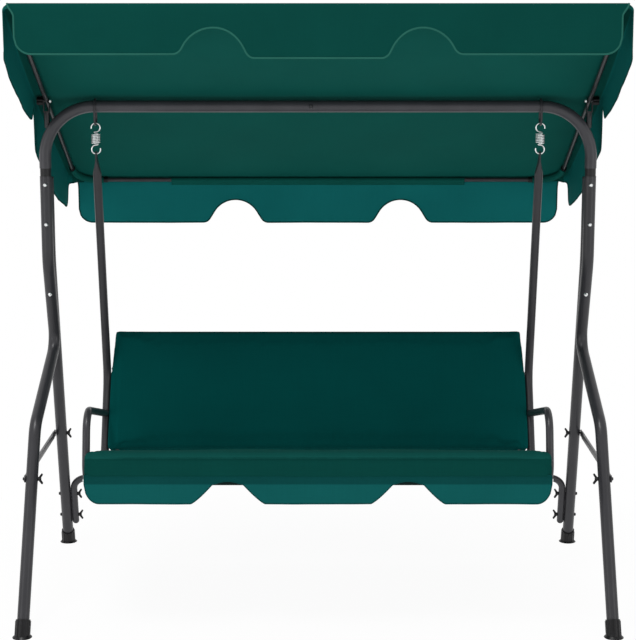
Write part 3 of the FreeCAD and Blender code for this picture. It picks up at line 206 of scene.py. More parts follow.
def noise_node(nodes, links, place, scale, detail=3.0, stretch=None):
    """Noise texture at a scale per metre, stretched along chosen axes."""
    texture = nodes.new("ShaderNodeTexNoise")
    texture.inputs["Scale"].default_value = scale
    texture.inputs["Detail"].default_value = detail
    if stretch:
        mapping = nodes.new("ShaderNodeMapping")
        mapping.inputs["Scale"].default_value = stretch
        links.new(place, mapping.inputs["Vector"])
        place = mapping.outputs["Vector"]
    links.new(place, texture.inputs["Vector"])
    return texture.outputs["Fac"]


def wave_node(nodes, links, place, direction, period):
    """Sine bands across one axis, one band every period."""
    texture = nodes.new("ShaderNodeTexWave")
    texture.bands_direction = direction
    texture.inputs["Scale"].default_value = math.pi / 10 / period
    links.new(place, texture.inputs["Vector"])
    return texture.outputs["Fac"]


def combine(nodes, links, operation, first, second):
    """One Math node; either input may be a number."""
    node = nodes.new("ShaderNodeMath")
    node.operation = operation
    for socket, value in zip(node.inputs, (first, second)):
        if isinstance(value, (int, float)):
            socket.default_value = value
        else:
            links.new(value, socket)
    return node.outputs[0]


def ramp_colour(nodes, links, factor, stops):
    """Colour ramp over the factor; stops are (position, colour)."""
    ramp = nodes.new("ShaderNodeValToRGB")
    while len(ramp.color_ramp.elements) < len(stops):
        ramp.color_ramp.elements.new(0.5)
    for element, (position, colour) in zip(ramp.color_ramp.elements, stops):
        element.position = position
        element.color = (*colour, 1.0)
    links.new(factor, ramp.inputs["Fac"])
    return ramp.outputs["Color"]


def ramp_value(nodes, links, factor, low, high):
    """Stretch a factor from 0..1 to low..high."""
    node = nodes.new("ShaderNodeMapRange")
    node.inputs["To Min"].default_value = low
    node.inputs["To Max"].default_value = high
    links.new(factor, node.inputs["Value"])
    return node.outputs["Result"]


def bump(nodes, links, height, strength, distance, shader):
    """Relief of a shader from a height factor."""
    node = nodes.new("ShaderNodeBump")
    node.inputs["Strength"].default_value = strength
    node.inputs["Distance"].default_value = distance
    links.new(height, node.inputs["Height"])
    links.new(node.outputs["Normal"], shader.inputs["Normal"])


def shade(colour, factor):
    """Lighter or darker copy of a colour."""
    return tuple(min(channel * factor, 1.0) for channel in colour)


def cloth_material(name, colour, glow=0.0, coords="UV", turn=0.0, streak=0.12, shade_depth=None):
    """Plain-woven polyester: crossed threads, slubs, soft fading, and painted shade from the top down to
    where something behind the cloth blocks the light through it.
    """
    material, nodes, links, shader = new_material(name)
    place = nodes.new("ShaderNodeTexCoord").outputs[coords]
    if turn:
        mapping = nodes.new("ShaderNodeMapping")
        mapping.inputs["Rotation"].default_value = (turn, 0.0, 0.0)
        links.new(place, mapping.inputs["Vector"])
        place = mapping.outputs["Vector"]
    other = "Y" if coords == "UV" else "Z"
    warp = combine(nodes, links, "SUBTRACT", wave_node(nodes, links, place, "X", WEAVE), 0.5)
    weft = combine(nodes, links, "SUBTRACT", wave_node(nodes, links, place, other, WEAVE), 0.5)
    weave = combine(nodes, links, "MULTIPLY", warp, weft)
    slub = noise_node(nodes, links, place, 1.0, 2.0, (9.0, 420.0, 420.0))
    slub_up = noise_node(nodes, links, place, 1.0, 2.0, (420.0, 9.0, 9.0))
    slubs = combine(nodes, links, "ADD", slub, slub_up)
    fade = noise_node(nodes, links, place, 5.0, 4.0)
    fine = noise_node(nodes, links, place, 700.0, 2.0)
    tone = combine(nodes, links, "MULTIPLY_ADD", slubs, streak)
    tone.node.inputs[2].default_value = 0.30
    tone = combine(nodes, links, "ADD", tone, combine(nodes, links, "MULTIPLY", fade, 0.22))
    tone = combine(nodes, links, "ADD", tone, combine(nodes, links, "MULTIPLY", weave, 0.45))
    # Painted shade: the cloth is darkened from its top down to the given depth, where something behind it
    # would block light coming through
    if shade_depth:
        parts = nodes.new("ShaderNodeSeparateXYZ")
        links.new(place, parts.inputs["Vector"])
        dark = nodes.new("ShaderNodeMapRange")
        dark.interpolation_type = "SMOOTHSTEP"
        dark.inputs["From Min"].default_value = -shade_depth - 0.002
        dark.inputs["From Max"].default_value = -shade_depth + 0.002
        dark.inputs["To Max"].default_value = 0.40
        links.new(parts.outputs["Y"], dark.inputs["Value"])
        tone = combine(nodes, links, "SUBTRACT", tone, dark.outputs["Result"])
    stops = [(0.0, shade(colour, 0.48)), (0.25, shade(colour, 0.72)),
             (0.53, colour), (0.85, shade(colour, 1.35))]
    links.new(ramp_colour(nodes, links, tone, stops), shader.inputs["Base Color"])
    links.new(ramp_value(nodes, links, fine, 0.78, 0.95), shader.inputs["Roughness"])
    shader.inputs["Specular IOR Level"].default_value = 0.02
    height = combine(nodes, links, "ADD", weave, combine(nodes, links, "MULTIPLY", slubs, 0.35))
    bump(nodes, links, height, 0.30, 0.0005, shader)
    if glow:
        through = nodes.new("ShaderNodeBsdfTranslucent")
        through.inputs["Color"].default_value = (*shade(colour, 1.6), 1.0)
        mix = nodes.new("ShaderNodeMixShader")
        mix.inputs["Fac"].default_value = glow
        links.new(shader.outputs["BSDF"], mix.inputs[1])
        links.new(through.outputs["BSDF"], mix.inputs[2])
        links.new(mix.outputs["Shader"], nodes["Material Output"].inputs["Surface"])
    return material


def paint_material(name, colour, band=None):
    """Satin powder coat: fine orange peel, faint mottling, dust, and a dark band between two heights."""
    material, nodes, links, shader = new_material(name)
    place = nodes.new("ShaderNodeTexCoord").outputs["Object"]
    mottle = noise_node(nodes, links, place, 14.0, 5.0)
    peel = noise_node(nodes, links, place, 900.0, 2.0)
    speck = noise_node(nodes, links, place, 260.0, 4.0)
    tone = combine(nodes, links, "ADD", combine(nodes, links, "MULTIPLY", mottle, 0.65),
                   combine(nodes, links, "MULTIPLY", speck, 0.35))
    if band:
        parts = nodes.new("ShaderNodeSeparateXYZ")
        links.new(place, parts.inputs["Vector"])
        over = combine(nodes, links, "GREATER_THAN", parts.outputs["Z"], band[0])
        under = combine(nodes, links, "LESS_THAN", parts.outputs["Z"], band[1])
        inside = combine(nodes, links, "MULTIPLY", over, under)
        tone = combine(nodes, links, "SUBTRACT", tone, inside)
        speck = combine(nodes, links, "ADD", speck, combine(nodes, links, "MULTIPLY", inside, 2.0))
    paint = ramp_colour(nodes, links, tone, [(0.0, shade(colour, 0.12)), (0.28, shade(colour, 0.82)),
                                             (0.52, colour), (0.74, shade(colour, 1.22))])
    links.new(paint, shader.inputs["Base Color"])
    links.new(ramp_value(nodes, links, speck, 0.26, 0.44), shader.inputs["Roughness"])
    shader.inputs["Specular IOR Level"].default_value = 0.34
    bump(nodes, links, peel, 0.10, 0.0004, shader)
    return material


def zinc_material(name, colour):
    """Bright zinc plate: spangle and slight dulling."""
    material, nodes, links, shader = new_material(name)
    place = nodes.new("ShaderNodeTexCoord").outputs["Object"]
    spangle = nodes.new("ShaderNodeTexVoronoi")
    spangle.inputs["Scale"].default_value = 420.0
    links.new(place, spangle.inputs["Vector"])
    dull = noise_node(nodes, links, place, 160.0, 4.0)
    tone = combine(nodes, links, "ADD", combine(nodes, links, "MULTIPLY", spangle.outputs["Distance"], 0.5),
                   combine(nodes, links, "MULTIPLY", dull, 0.6))
    stops = [(0.30, shade(colour, 0.80)), (0.55, colour), (0.80, shade(colour, 1.18))]
    paint = ramp_colour(nodes, links, tone, stops)
    links.new(paint, shader.inputs["Base Color"])
    shader.inputs["Metallic"].default_value = 1.0
    links.new(ramp_value(nodes, links, dull, 0.20, 0.42), shader.inputs["Roughness"])
    bump(nodes, links, dull, 0.08, 0.0003, shader)
    return material


def plastic_material(name, colour):
    """Moulded black plastic with a fine grain."""
    material, nodes, links, shader = new_material(name)
    place = nodes.new("ShaderNodeTexCoord").outputs["Object"]
    grain = noise_node(nodes, links, place, 1500.0, 3.0)
    scuff = noise_node(nodes, links, place, 60.0, 5.0)
    stops = [(0.30, shade(colour, 0.75)), (0.55, colour), (0.80, shade(colour, 1.8))]
    paint = ramp_colour(nodes, links, scuff, stops)
    links.new(paint, shader.inputs["Base Color"])
    links.new(ramp_value(nodes, links, scuff, 0.28, 0.46), shader.inputs["Roughness"])
    shader.inputs["Specular IOR Level"].default_value = 0.22
    bump(nodes, links, grain, 0.12, 0.0003, shader)
    return material


CANOPY_CLOTH = cloth_material("canopy_weave", GREEN, glow=0.05)
# Front flap cloth: a darker copy of the canopy cloth, painted shade
FRONT_SHADE_CLOTH = cloth_material("front_flap_weave_painted_shade", FRONT_SHADE_GREEN, glow=0.05)
# Rear flap cloth: painted light, brighter than the canopy cloth it is cut from
REAR_LIT_CLOTH = cloth_material("rear_flap_weave_painted_light", REAR_LIT_GREEN, glow=0.08)
# Skirt cloth: painted light all over, with a band of painted shade at its top
SKIRT_LIT_SHADED_CLOTH = cloth_material("skirt_weave_painted_light_and_shade", SKIRT_LIT_GREEN, glow=0.04, shade_depth=SKIRT_TOP - SKIRT_SHADE_LOW)
# Side flap cloth: a lighter copy of the canopy cloth, painted light
FLAP_LIT_CLOTH = cloth_material("side_flap_weave_painted_light", FLAP_LIT_GREEN, glow=0.06)
BINDING_CLOTH = cloth_material("binding_tape", BINDING_GREEN)
HEM_CLOTH = cloth_material("hem_weave", HEM_GREEN)
SLING_CLOTH = cloth_material("sling_weave", SLING_GREEN)
SEAT_CLOTH = cloth_material("seat_weave", PAD_GREEN, coords="Object", turn=-SEAT_TILT, streak=0.16)
# Seat face cloth: a darker copy of the seat cloth, painted shade
FACE_SHADE_CLOTH = cloth_material("seat_face_weave_painted_shade", FACE_SHADE_GREEN, coords="Object", turn=-SEAT_TILT, streak=0.16)
# Back cloth: lighter than the seat cloth of the same cover, painted light
BACK_LIT_CLOTH = cloth_material("back_weave_painted_light", BACK_LIT_GREEN, coords="Object", turn=-SEAT_TILT - BACK_ANGLE)
THREAD = cloth_material("stitch_thread", HEM_GREEN, coords="Object")
# Beam: the charcoal coat lightened, painted light against the canopy's shade on it
BEAM_LIT_PAINT = paint_material("charcoal_beam_coat_painted_light", shade(CHARCOAL, 1.6), NECK_Z)
# Darker copy of the charcoal coat: painted shade of the canopy on its brackets and side tubes, also used on
# the brace and crossbar bolts
DARK_AND_SHADED_PAINT = paint_material("dark_coat_and_painted_shade", shade(CHARCOAL, 0.5))
NODE_MATERIALS = {"beam_left": BEAM_LIT_PAINT, "beam_right": BEAM_LIT_PAINT,
                  "canopy_bracket_left": DARK_AND_SHADED_PAINT, "canopy_bracket_right": DARK_AND_SHADED_PAINT,
                  "canopy_side_tube_left": DARK_AND_SHADED_PAINT, "canopy_side_tube_right": DARK_AND_SHADED_PAINT,
                  "brace_bolts": DARK_AND_SHADED_PAINT, "crossbar_bolts": DARK_AND_SHADED_PAINT}
SLOT_MATERIALS = {"tube_paint": paint_material("charcoal_powder_coat", CHARCOAL),
                  "zinc_steel": zinc_material("zinc_plate", ZINC),
                  "black_plastic": plastic_material("black_moulding", BLACK)}


def dress_nodes():
    """Give every rigid solid the material of its slot, or its own."""
    for part in frame["record"]["subparts"]:
        material = SLOT_MATERIALS.get(part["material_slot"])
        if material is None:
            continue
        material = NODE_MATERIALS.get(part["node"], material)
        solid = frame["nodes"][part["node"]]
        if solid.material_slots:
            for place in solid.material_slots:
                place.material = material
        else:
            solid.data.materials.append(material)


# Meshes

def mesh_object(name, verts, faces, material, uvs=None):
    """Mesh object with smooth faces; uvs hold one pair per vertex."""
    mesh = bpy.data.meshes.new(name)
    mesh.from_pydata([tuple(point) for point in verts], [], faces)
    mesh.polygons.foreach_set("use_smooth", [True] * len(mesh.polygons))
    if uvs is not None:
        layer = mesh.uv_layers.new(name="UVMap")
        index = np.empty(len(mesh.loops), dtype=np.int64)
        mesh.loops.foreach_get("vertex_index", index)
        layer.data.foreach_set("uv", np.asarray(uvs, dtype=np.float32)[index].ravel())
    mesh.materials.append(material)
    mesh.update()
    piece = bpy.data.objects.new(name, mesh)
    bpy.context.scene.collection.objects.link(piece)
    return piece


def grid_faces(rows, columns, offset=0, flip=False, wrap=False):
    """Quads of a grid of vertices, closed round its columns where wrap is set."""
    faces = []
    last = columns if wrap else columns - 1
    for row in range(rows - 1):
        for column in range(last):
            following = (column + 1) % columns
            a = offset + row * columns + column
            b = offset + row * columns + following
            face = (a, b, b + columns, a + columns)
            faces.append(face[::-1] if flip else face)
    return faces


def tube_faces(rings, count):
    """Faces of a closed tube of rings, with a cap at each end."""
    last = (rings - 1) * count
    caps = [tuple(range(count))[::-1], tuple(range(last, last + count))]
    return grid_faces(rings, count, wrap=True) + caps


def sheet_object(name, points, uvs, material, thickness=CLOTH):
    """Closed sheet about a grid of middle points; also gives its area and its two lengths."""
    points = np.asarray(points, dtype=float)
    rows, columns = points.shape[:2]
    normal = np.cross(np.gradient(points, axis=1), np.gradient(points, axis=0))
    normal /= np.maximum(np.linalg.norm(normal, axis=2, keepdims=True), 1e-12)
    near = (points + normal * thickness / 2).reshape(-1, 3)
    far = (points - normal * thickness / 2).reshape(-1, 3)
    count = rows * columns
    faces = grid_faces(rows, columns, 0, True) + grid_faces(rows, columns, count)
    rim = list(range(columns)) + [row * columns + columns - 1 for row in range(1, rows)]
    rim += list(range(count - 2, count - columns - 1, -1))
    rim += [row * columns for row in range(rows - 2, 0, -1)]
    for here, there in zip(rim, rim[1:] + rim[:1]):
        faces.append((here, there, there + count, here + count))
    flat_uvs = np.asarray(uvs, dtype=float).reshape(-1, 2)
    both_uvs = np.concatenate([flat_uvs, flat_uvs])
    piece = mesh_object(name, np.concatenate([near, far]), faces, material, both_uvs)
    one = points[1:, 1:] - points[:-1, :-1]
    two = points[1:, :-1] - points[:-1, 1:]
    area = 0.5 * np.linalg.norm(np.cross(one, two), axis=2).sum()
    wide = np.linalg.norm(np.diff(points, axis=1), axis=2).sum(axis=1).max()
    long = np.linalg.norm(np.diff(points, axis=0), axis=2).sum(axis=0).max()
    return piece, float(area), (float(wide), float(long))


def tape_object(name, path, normals, width, thickness, material, inset=0.001):
    """Tape folded over a cloth edge: a flat rounded section swept along the path."""
    path = np.asarray(path, dtype=float)
    normals = np.asarray(normals, dtype=float)
    tangent = np.gradient(path, axis=0)
    tangent /= np.linalg.norm(tangent, axis=1, keepdims=True)
    side = np.cross(tangent, normals)
    side /= np.linalg.norm(side, axis=1, keepdims=True)
    normal = np.cross(side, tangent)
    outline = []
    one_side = [(-1, 0.6), (-0.8, 1), (0.5, 1), (0.9, 0.6), (1, 0)]
    for across, deep in [(across, -deep) for across, deep in one_side] + one_side[-2::-1]:
        outline.append((across * width / 2 - width / 2 + inset, deep * thickness / 2))
    verts = []
    uvs = []
    length = np.concatenate([[0.0], np.cumsum(np.linalg.norm(np.diff(path, axis=0), axis=1))])
    for index in range(len(path)):
        for across, deep in outline:
            verts.append(path[index] + side[index] * across + normal[index] * deep)
            uvs.append((length[index], across))
    return mesh_object(name, verts, tube_faces(len(path), len(outline)), material, uvs)


def hem_object(name, rows, width, thickness, material):
    """Tape along the sides and the lower edge of a hanging sheet."""
    grid = np.array(rows)
    path = np.concatenate([grid[1:-1, 0], grid[-1], grid[1:-1, -1][::-1]])
    keep = np.concatenate([[True], np.linalg.norm(np.diff(path, axis=0), axis=1) > 0.0008])
    path = path[keep]
    normals = np.tile([0.0, -1.0, 0.0], (len(path), 1))
    return tape_object(name, path, normals, width, thickness, material)


def cut_size(rows, flat):
    """Flat size of a hanging sheet: as wide as it reaches, since its scallops are cut out."""
    return (float(np.ptp(np.array(rows)[:, :, 0])), flat[1])


def along_path(at, along, values):
    """Value at a distance along a path whose points lie at the distances in along."""
    return np.array([np.interp(at, along, values[:, axis]) for axis in range(3)])


def stitch_row(name, path, normals, pitch=0.006, length=0.0042, radius=0.0006):
    """A row of sewing stitches: small spindles laid along the path."""
    path = np.asarray(path, dtype=float)
    steps = np.linalg.norm(np.diff(path, axis=0), axis=1)
    along = np.concatenate([[0.0], np.cumsum(steps)])
    verts = []
    faces = []
    for start in np.arange(pitch / 2, along[-1] - length, pitch):
        ends = [along_path(at, along, path) for at in (start, start + length)]
        normal = along_path(start, along, np.asarray(normals))
        run = (ends[1] - ends[0]) / np.linalg.norm(ends[1] - ends[0])
        cross = np.cross(run, normal)
        base = len(verts)
        middle = (ends[0] + ends[1]) / 2
        ring = [middle + normal * radius, middle + cross * radius,
                middle - normal * radius, middle - cross * radius]
        verts += [ends[0]] + ring + [ends[1]]
        for index in range(4):
            here, there = base + 1 + index, base + 1 + (index + 1) % 4
            faces += [(base, there, here), (base + 5, here, there)]
    return mesh_object(name, verts, faces, THREAD)


# Canopy

def folds(x, share, size, seed):
    """Sideways swing of hanging cloth: broad folds with small ripples, growing downwards."""
    broad = math.sin(2 * math.pi * x / 0.352 + seed)
    mid = 0.45 * math.sin(2 * math.pi * x / 0.171 + 1.7 * seed + 0.8)
    small = 0.22 * math.sin(2 * math.pi * x / 0.083 + 2.9 * seed)
    return size * share ** 1.4 * (broad + mid + small)


def bell_slope(half, height, radii):
    """Slope of the straight side that joins a cut-out's round top to its foot."""
    low, high = 0.0, math.pi / 2 - 0.01
    for _ in range(40):
        slope = (low + high) / 2
        rise = radii * (1 - math.cos(slope)) + math.tan(slope) * (half - radii * math.sin(slope))
        low, high = (slope, high) if rise < height else (low, slope)
    return low


def bell(away, half, height, top_r, foot_r):
    """Height of an end flap's cut-out: a round top, straight sides and round feet."""
    slope = bell_slope(half, height, top_r + foot_r)
    if away >= half:
        return 0.0
    if away <= top_r * math.sin(slope):
        return height - top_r + math.sqrt(top_r * top_r - away * away)
    if half - away <= foot_r * math.sin(slope):
        return foot_r - math.sqrt(foot_r * foot_r - (half - away) ** 2)
    return foot_r * (1 - math.cos(slope)) + math.tan(slope) * (half - away - foot_r * math.sin(slope))


def corner_rise(x, half, width, height):
    """Rise of a flap's lower edge at its round corner."""
    over = max(abs(x) - (half - width), 0.0) / width
    return height * (1 - math.sqrt(max(1 - over * over, 0.0)))


def flap_depth(x, drop, middle_drop, cut):
    """Depth of a scalloped end flap at x."""
    cut_x, cut_half, cut_height, top_r, foot_r = cut
    middle = middle_drop * (1 - ease(abs(x), cut_x - cut_half, cut_x + cut_half))
    share = bell(abs(abs(x) - cut_x), cut_half, cut_height, top_r, foot_r) / cut_height
    return drop + middle - share * (cut_height + middle) - corner_rise(x, FLAP_HALF, *FLAP_CORNER)


def panel_height(x, s):
    """Stand-off of the top cloth: lips on the bars, a ridge over the beam, dips between."""
    share = 1 - s / (LIPS_S["rear"] if s > 0 else LIPS_S["front"])
    line = PANEL_N + (RIDGE_N - PANEL_N) * share
    slack = 1 - ease(abs(x), 0.25, 0.77)
    dip = SAG * (0.04 + 0.96 * slack) * 4 * share * (1 - share)
    pull = 0.0016 * slack * math.sin(36 * x + 9 * s) * share * (1 - share) * 4
    corner = abs(x) - 0.9 * abs(s)
    crease = 0.0022 * math.exp(-((corner - 0.06) / 0.035) ** 2) * ease(abs(x), 0.2, 0.45) * slack
    round_ridge = 0.002 * math.exp(-(s / 0.035) ** 2) * slack
    return line - dip + pull - crease - round_ridge


def side_depth(s):
    """Plumb drop of a side flap at s, slit round the post."""
    places, drops = zip(*SIDE_FLAP)
    return float(np.interp(s, places, drops))


def edge_x(s):
    """Half width of the canopy at s: bowed sides and rounded corners."""
    name = "rear" if s > 0 else "front"
    end = LIPS_S[name]
    corner = end_draw(s, abs(end), CORNER_R[name])
    return CORNER_X + (MIDDLE_X - CORNER_X) * (1 - (s / end) ** 2) - CLOTH / 2 - corner


def build_canopy():
    """Top cloth and both side flaps as one sheet, folded over the side edges."""
    stations = [np.linspace(LIPS_S["front"], -0.5762, 9), np.linspace(-0.576, -0.53, 14),
                np.linspace(-0.52, -0.08, 48), np.linspace(-0.072, -0.003, 30),
                np.linspace(-0.0015, 0.016, 36),
                np.linspace(0.020, 0.53, 54), np.linspace(0.54, 0.59, 18), np.linspace(0.592, 0.614, 34),
                np.linspace(0.616, LIPS_S["rear"], 14)]
    drops = np.linspace(1.0, 0.0, 15)
    angles = np.linspace(0.0, math.pi / 2, 6)[1:-1]
    tops = np.linspace(-1.0, 1.0, 131)
    points = []
    uvs = []
    edges = {-1: [], 1: []}
    for s in np.concatenate(stations):
        edge = edge_x(s)
        depth = side_depth(s)
        row = []
        places = []

        def flap(side, share):
            swing = folds(s * 1.3, share, 0.0009, 1.3 * side) * min(depth / 0.1, 1.0) if share else 0.0
            x, y, z = canopy_point(side * (edge + swing), s, panel_height(edge, s) - FOLD_R)
            row.append((x, y, z - share * (depth - FOLD_R)))
            places.append((side * (edge + share * depth), s))

        def turn(side, angle):
            n = panel_height(edge, s) - FOLD_R + FOLD_R * math.sin(angle)
            row.append(canopy_point(side * (edge - FOLD_R + FOLD_R * math.cos(angle)), s, n))
            places.append((side * (edge - FOLD_R * angle / 2), s))

        for share in drops:
            flap(-1, share)
        for angle in angles:
            turn(-1, angle)
        for share in tops:
            x = share * (edge - FOLD_R)
            row.append(canopy_point(x, s, panel_height(x, s)))
            places.append((x, s))
        for angle in angles[::-1]:
            turn(1, angle)
        for share in drops[::-1]:
            flap(1, share)
        points.append(row)
        uvs.append(places)
        if s >= -0.576:
            edges[-1].append(row[0])
            edges[1].append(row[-1])
    cover, area, flat = sheet_object("canopy_cover", points, uvs, CANOPY_CLOTH)
    cover.data.materials.append(FLAP_LIT_CLOTH)
    # Faces of the sheet that turn sideways take the lighter side flap cloth, painted light
    for face in cover.data.polygons:
        face.material_index = 1 if abs(face.normal.x) > 0.7 else 0
    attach(cover, "canopy")
    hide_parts("canopy_top_panel", "canopy_side_valance_left", "canopy_side_valance_right")
    sewn = []
    for side, name in ((-1, "left"), (1, "right")):
        path = np.array(edges[side])[::side]
        normals = np.tile([1.0, 0.0, 0.0], (len(path), 1))
        sewn.append(tape_object("side_flap_hem_" + name, path, normals, 0.005, 0.0028, HEM_CLOTH))
        sewn.append(corner_pocket(side, name))
    for piece in sewn:
        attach(piece, "canopy")


def corner_pocket(side, name):
    """Cloth sewn under a rear corner, which wraps the elbow from below and inside."""
    middle = (ELBOW_X - ELBOW_BEND_R, BARS_S["rear"] - ELBOW_BEND_R)
    track = [(share, middle[1] + ELBOW_BEND_R, 0.0, 1.0) for share in np.linspace(0.709, middle[0], 4)[:-1]]
    for turn in np.linspace(math.pi / 2, 0.0, 22):
        track.append((middle[0] + ELBOW_BEND_R * math.cos(turn), middle[1] + ELBOW_BEND_R * math.sin(turn),
                      math.cos(turn), math.sin(turn)))
    track += [(ELBOW_X, s, 1.0, 0.0) for s in np.linspace(middle[1], 0.533, 4)[1:]]
    rows = []
    uvs = []
    for index, (x, s, out_x, out_s) in enumerate(track):
        row = []
        for step in np.linspace(-70, -222, 17):
            turn = math.radians(step)
            away = HANG * math.cos(turn)
            n = HANG * math.sin(turn)
            row.append(canopy_point(side * (x + away * out_x), s + away * out_s, min(n, 0.0085)))
        rows.append(row)
        uvs.append([(index * 0.008, step * 0.002) for step in range(len(row))])
    return sheet_object("corner_pocket_" + name, rows, uvs, CANOPY_CLOTH, POCKET_CLOTH)[0]


def curve_points(controls, count):
    """Points of a cubic Bezier curve in a plane."""
    a, b, c, d = [np.array(control) for control in controls]
    shares = np.linspace(0, 1, count)[:, None]
    rest = 1 - shares
    return a * rest ** 3 + 3 * b * shares * rest ** 2 + 3 * c * shares ** 2 * rest + d * shares ** 3


def build_end_flap(end, drop, middle_drop, pocket, flare, material, tape, tape_width):
    """End flap: from the canopy's lip over the bar, then plumb down to its scalloped edge."""
    body = end + "_valance"
    side = 1 if end == "rear" else -1
    half = FLAP_HALF
    bar = np.array(canopy_point(0, BARS_S[end], 0))
    lip = np.array(canopy_point(0, LIPS_S[end] + side * 0.0006, PANEL_N))
    lip_out = (lip[1] - bar[1]) * side
    lip_up = lip[2] - bar[2]
    run = 0.0045
    controls = [(lip_out, lip_up),
                (lip_out + run * math.cos(CANOPY_TILT), lip_up - side * run * math.sin(CANOPY_TILT)),
                (HANG, 0.002), (HANG, -FLAP_TURN)]
    section = [tuple(point) for point in curve_points(controls, 8)]
    rows = [[] for _ in range(len(section) + 16)]
    uvs = [[] for _ in rows]
    for share in np.linspace(-1, 1, 321):
        depth = flap_depth(share * half, drop, middle_drop, CUTS[end])
        column = section + [(HANG, -FLAP_TURN - step / 16 * (depth - FLAP_TURN)) for step in range(1, 17)]
        for index, (out, up) in enumerate(column):
            x = share * (half + flare * (1 - ease(lip_up - up, 0.0, 0.034)))
            swing = 0.001 + folds(share * half, min(max(-up, 0.0) / drop, 1.0), 0.0022, 0.6 + side)
            rows[index].append((x, bar[1] + side * (out + swing * ease(-up, FLAP_TURN, 0.05)), bar[2] + up))
            uvs[index].append((x, up))
    flap, area, flat = sheet_object(end + "_flap", rows, uvs, material)
    edge = hem_object(end + "_flap_edge", rows, tape_width, 0.0034, tape)
    sleeve = build_pocket(end, side, bar, pocket)
    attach(sleeve, body)
    for piece in (flap, edge):
        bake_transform(piece)
    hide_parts("canopy_" + end + "_valance")


def build_pocket(end, side, bar, pocket):
    """Sewn pole pocket: a strip that leaves the flap, goes round the bar and comes back to it."""
    radius = TUBE_R + 0.0010
    section = [(HANG - 0.0024, -0.016), (HANG - 0.0026, -0.009)]
    for angle in np.linspace(-15, 275, 25):
        turn = math.radians(angle)
        section.append((radius * math.cos(turn), radius * math.sin(turn)))
    section += [(0.0052, -0.0125), (HANG - 0.0041, -0.0175)]
    rows = []
    uvs = []
    for index, (out, up) in enumerate(section):
        row = []
        for share in np.linspace(-1, 1, 161):
            x = share * pocket
            pucker = 0.00025 * math.sin(2 * math.pi * x / 0.031 + 1.1 * index)
            row.append((x, bar[1] + side * (out + pucker), bar[2] + up))
        rows.append(row)
        uvs.append([(point[0], index * 0.002) for point in row])
    return sheet_object(end + "_pole_pocket", rows, uvs, CANOPY_CLOTH, POCKET_CLOTH)[0]


# Seat

def skirt_depth(x, drop):
    """Depth of the seat skirt at x: two cut-outs, each with a low arch at its top."""
    away = abs(abs(x) - SKIRT_CUT["middle"])
    ramp = min(max((away - SKIRT_CUT["top"]) / (SKIRT_CUT["half"] - SKIRT_CUT["top"]), 0.0), 1.0)
    arch = max(1 - (away / SKIRT_CUT["arch_half"]) ** 2, 0.0)
    cut = SKIRT_CUT["height"] * (1 - ramp) ** 1.25 + SKIRT_CUT["arch"] * arch
    return drop - cut - corner_rise(x, SKIRT_HALF, *SKIRT_CORNER)


def build_skirt():
    """Scalloped skirt sewn along the lower front edge of the seat cushion."""
    drop = SKIRT_TOP - SKIRT_LOW
    shares = np.concatenate([np.linspace(0, 0.16, 9), np.linspace(0.16, 1, 13)[1:]])
    rows = [[] for _ in shares]
    uvs = [[] for _ in shares]
    for across in np.linspace(-1, 1, 301):
        x = across * SKIRT_HALF
        depth = skirt_depth(x, drop)
        for index, share in enumerate(shares):
            down = share * depth
            out = 0.0054 * ease(down, 0.001, 0.009)
            y = SKIRT_Y - MIDDLE_Y - out - folds(x, max(down - 0.013, 0.0) / drop, 0.0014, 2.2)
            rows[index].append((x, y, SKIRT_TOP - down))
            uvs[index].append((x, -down))
    skirt, area, flat = sheet_object("seat_front_skirt", rows, uvs, SKIRT_LIT_SHADED_CLOTH)
    hem = hem_object("skirt_hem", rows, 0.0035, 0.0028, SKIRT_LIT_SHADED_CLOTH)
    for piece in (skirt, hem):
        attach(piece, "seat")
    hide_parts("seat_skirt")
    flat = cut_size(rows, flat)


def build_sling():
    """Cloth sling stretched between the seat bars, sewn round both."""
    radius = BAR_R + 0.0012
    path = []
    for angle in np.linspace(-40, -270, 24):
        turn = math.radians(angle)
        path.append((BARS_U[0] + radius * math.cos(turn), RAIL_W + radius * math.sin(turn)))
    for share in np.linspace(0, 1, 26)[1:-1]:
        u = BARS_U[0] + (BARS_U[1] - BARS_U[0]) * share
        path.append((u, RAIL_W + radius - 0.0015 * math.sin(math.pi * share)))
    for angle in np.linspace(90, -140, 24):
        turn = math.radians(angle)
        path.append((BARS_U[1] + radius * math.cos(turn), RAIL_W + radius * math.sin(turn)))
    columns = np.linspace(-0.598, 0.598, 121)
    steps = np.concatenate([[0.0], np.cumsum(np.linalg.norm(np.diff(np.array(path), axis=0), axis=1))])
    rows = []
    uvs = []
    for (u, w), along in zip(path, steps):
        ripple = 0.0006 * ease(u, BARS_U[0], BARS_U[0] + 0.05) * (1 - ease(u, BARS_U[1] - 0.05, BARS_U[1]))
        rows.append([seat_point(x, u, w - ripple * (1 + math.sin(x / 0.018))) for x in columns])
        uvs.append([(x, along) for x in columns])
    sling, area, flat = sheet_object("seat_sling_cloth", rows, uvs, SLING_CLOTH)
    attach(sling, "seat")
    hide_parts("seat_sling")


def loft_mesh(stations, place):
    """Closed mesh through sections of equal point counts; stations are (x, [(a, b), ...])."""
    verts = []
    for x, section in stations:
        verts += [place(x, a, b) for a, b in section]
    return verts, tube_faces(len(stations), len(stations[0][1]))


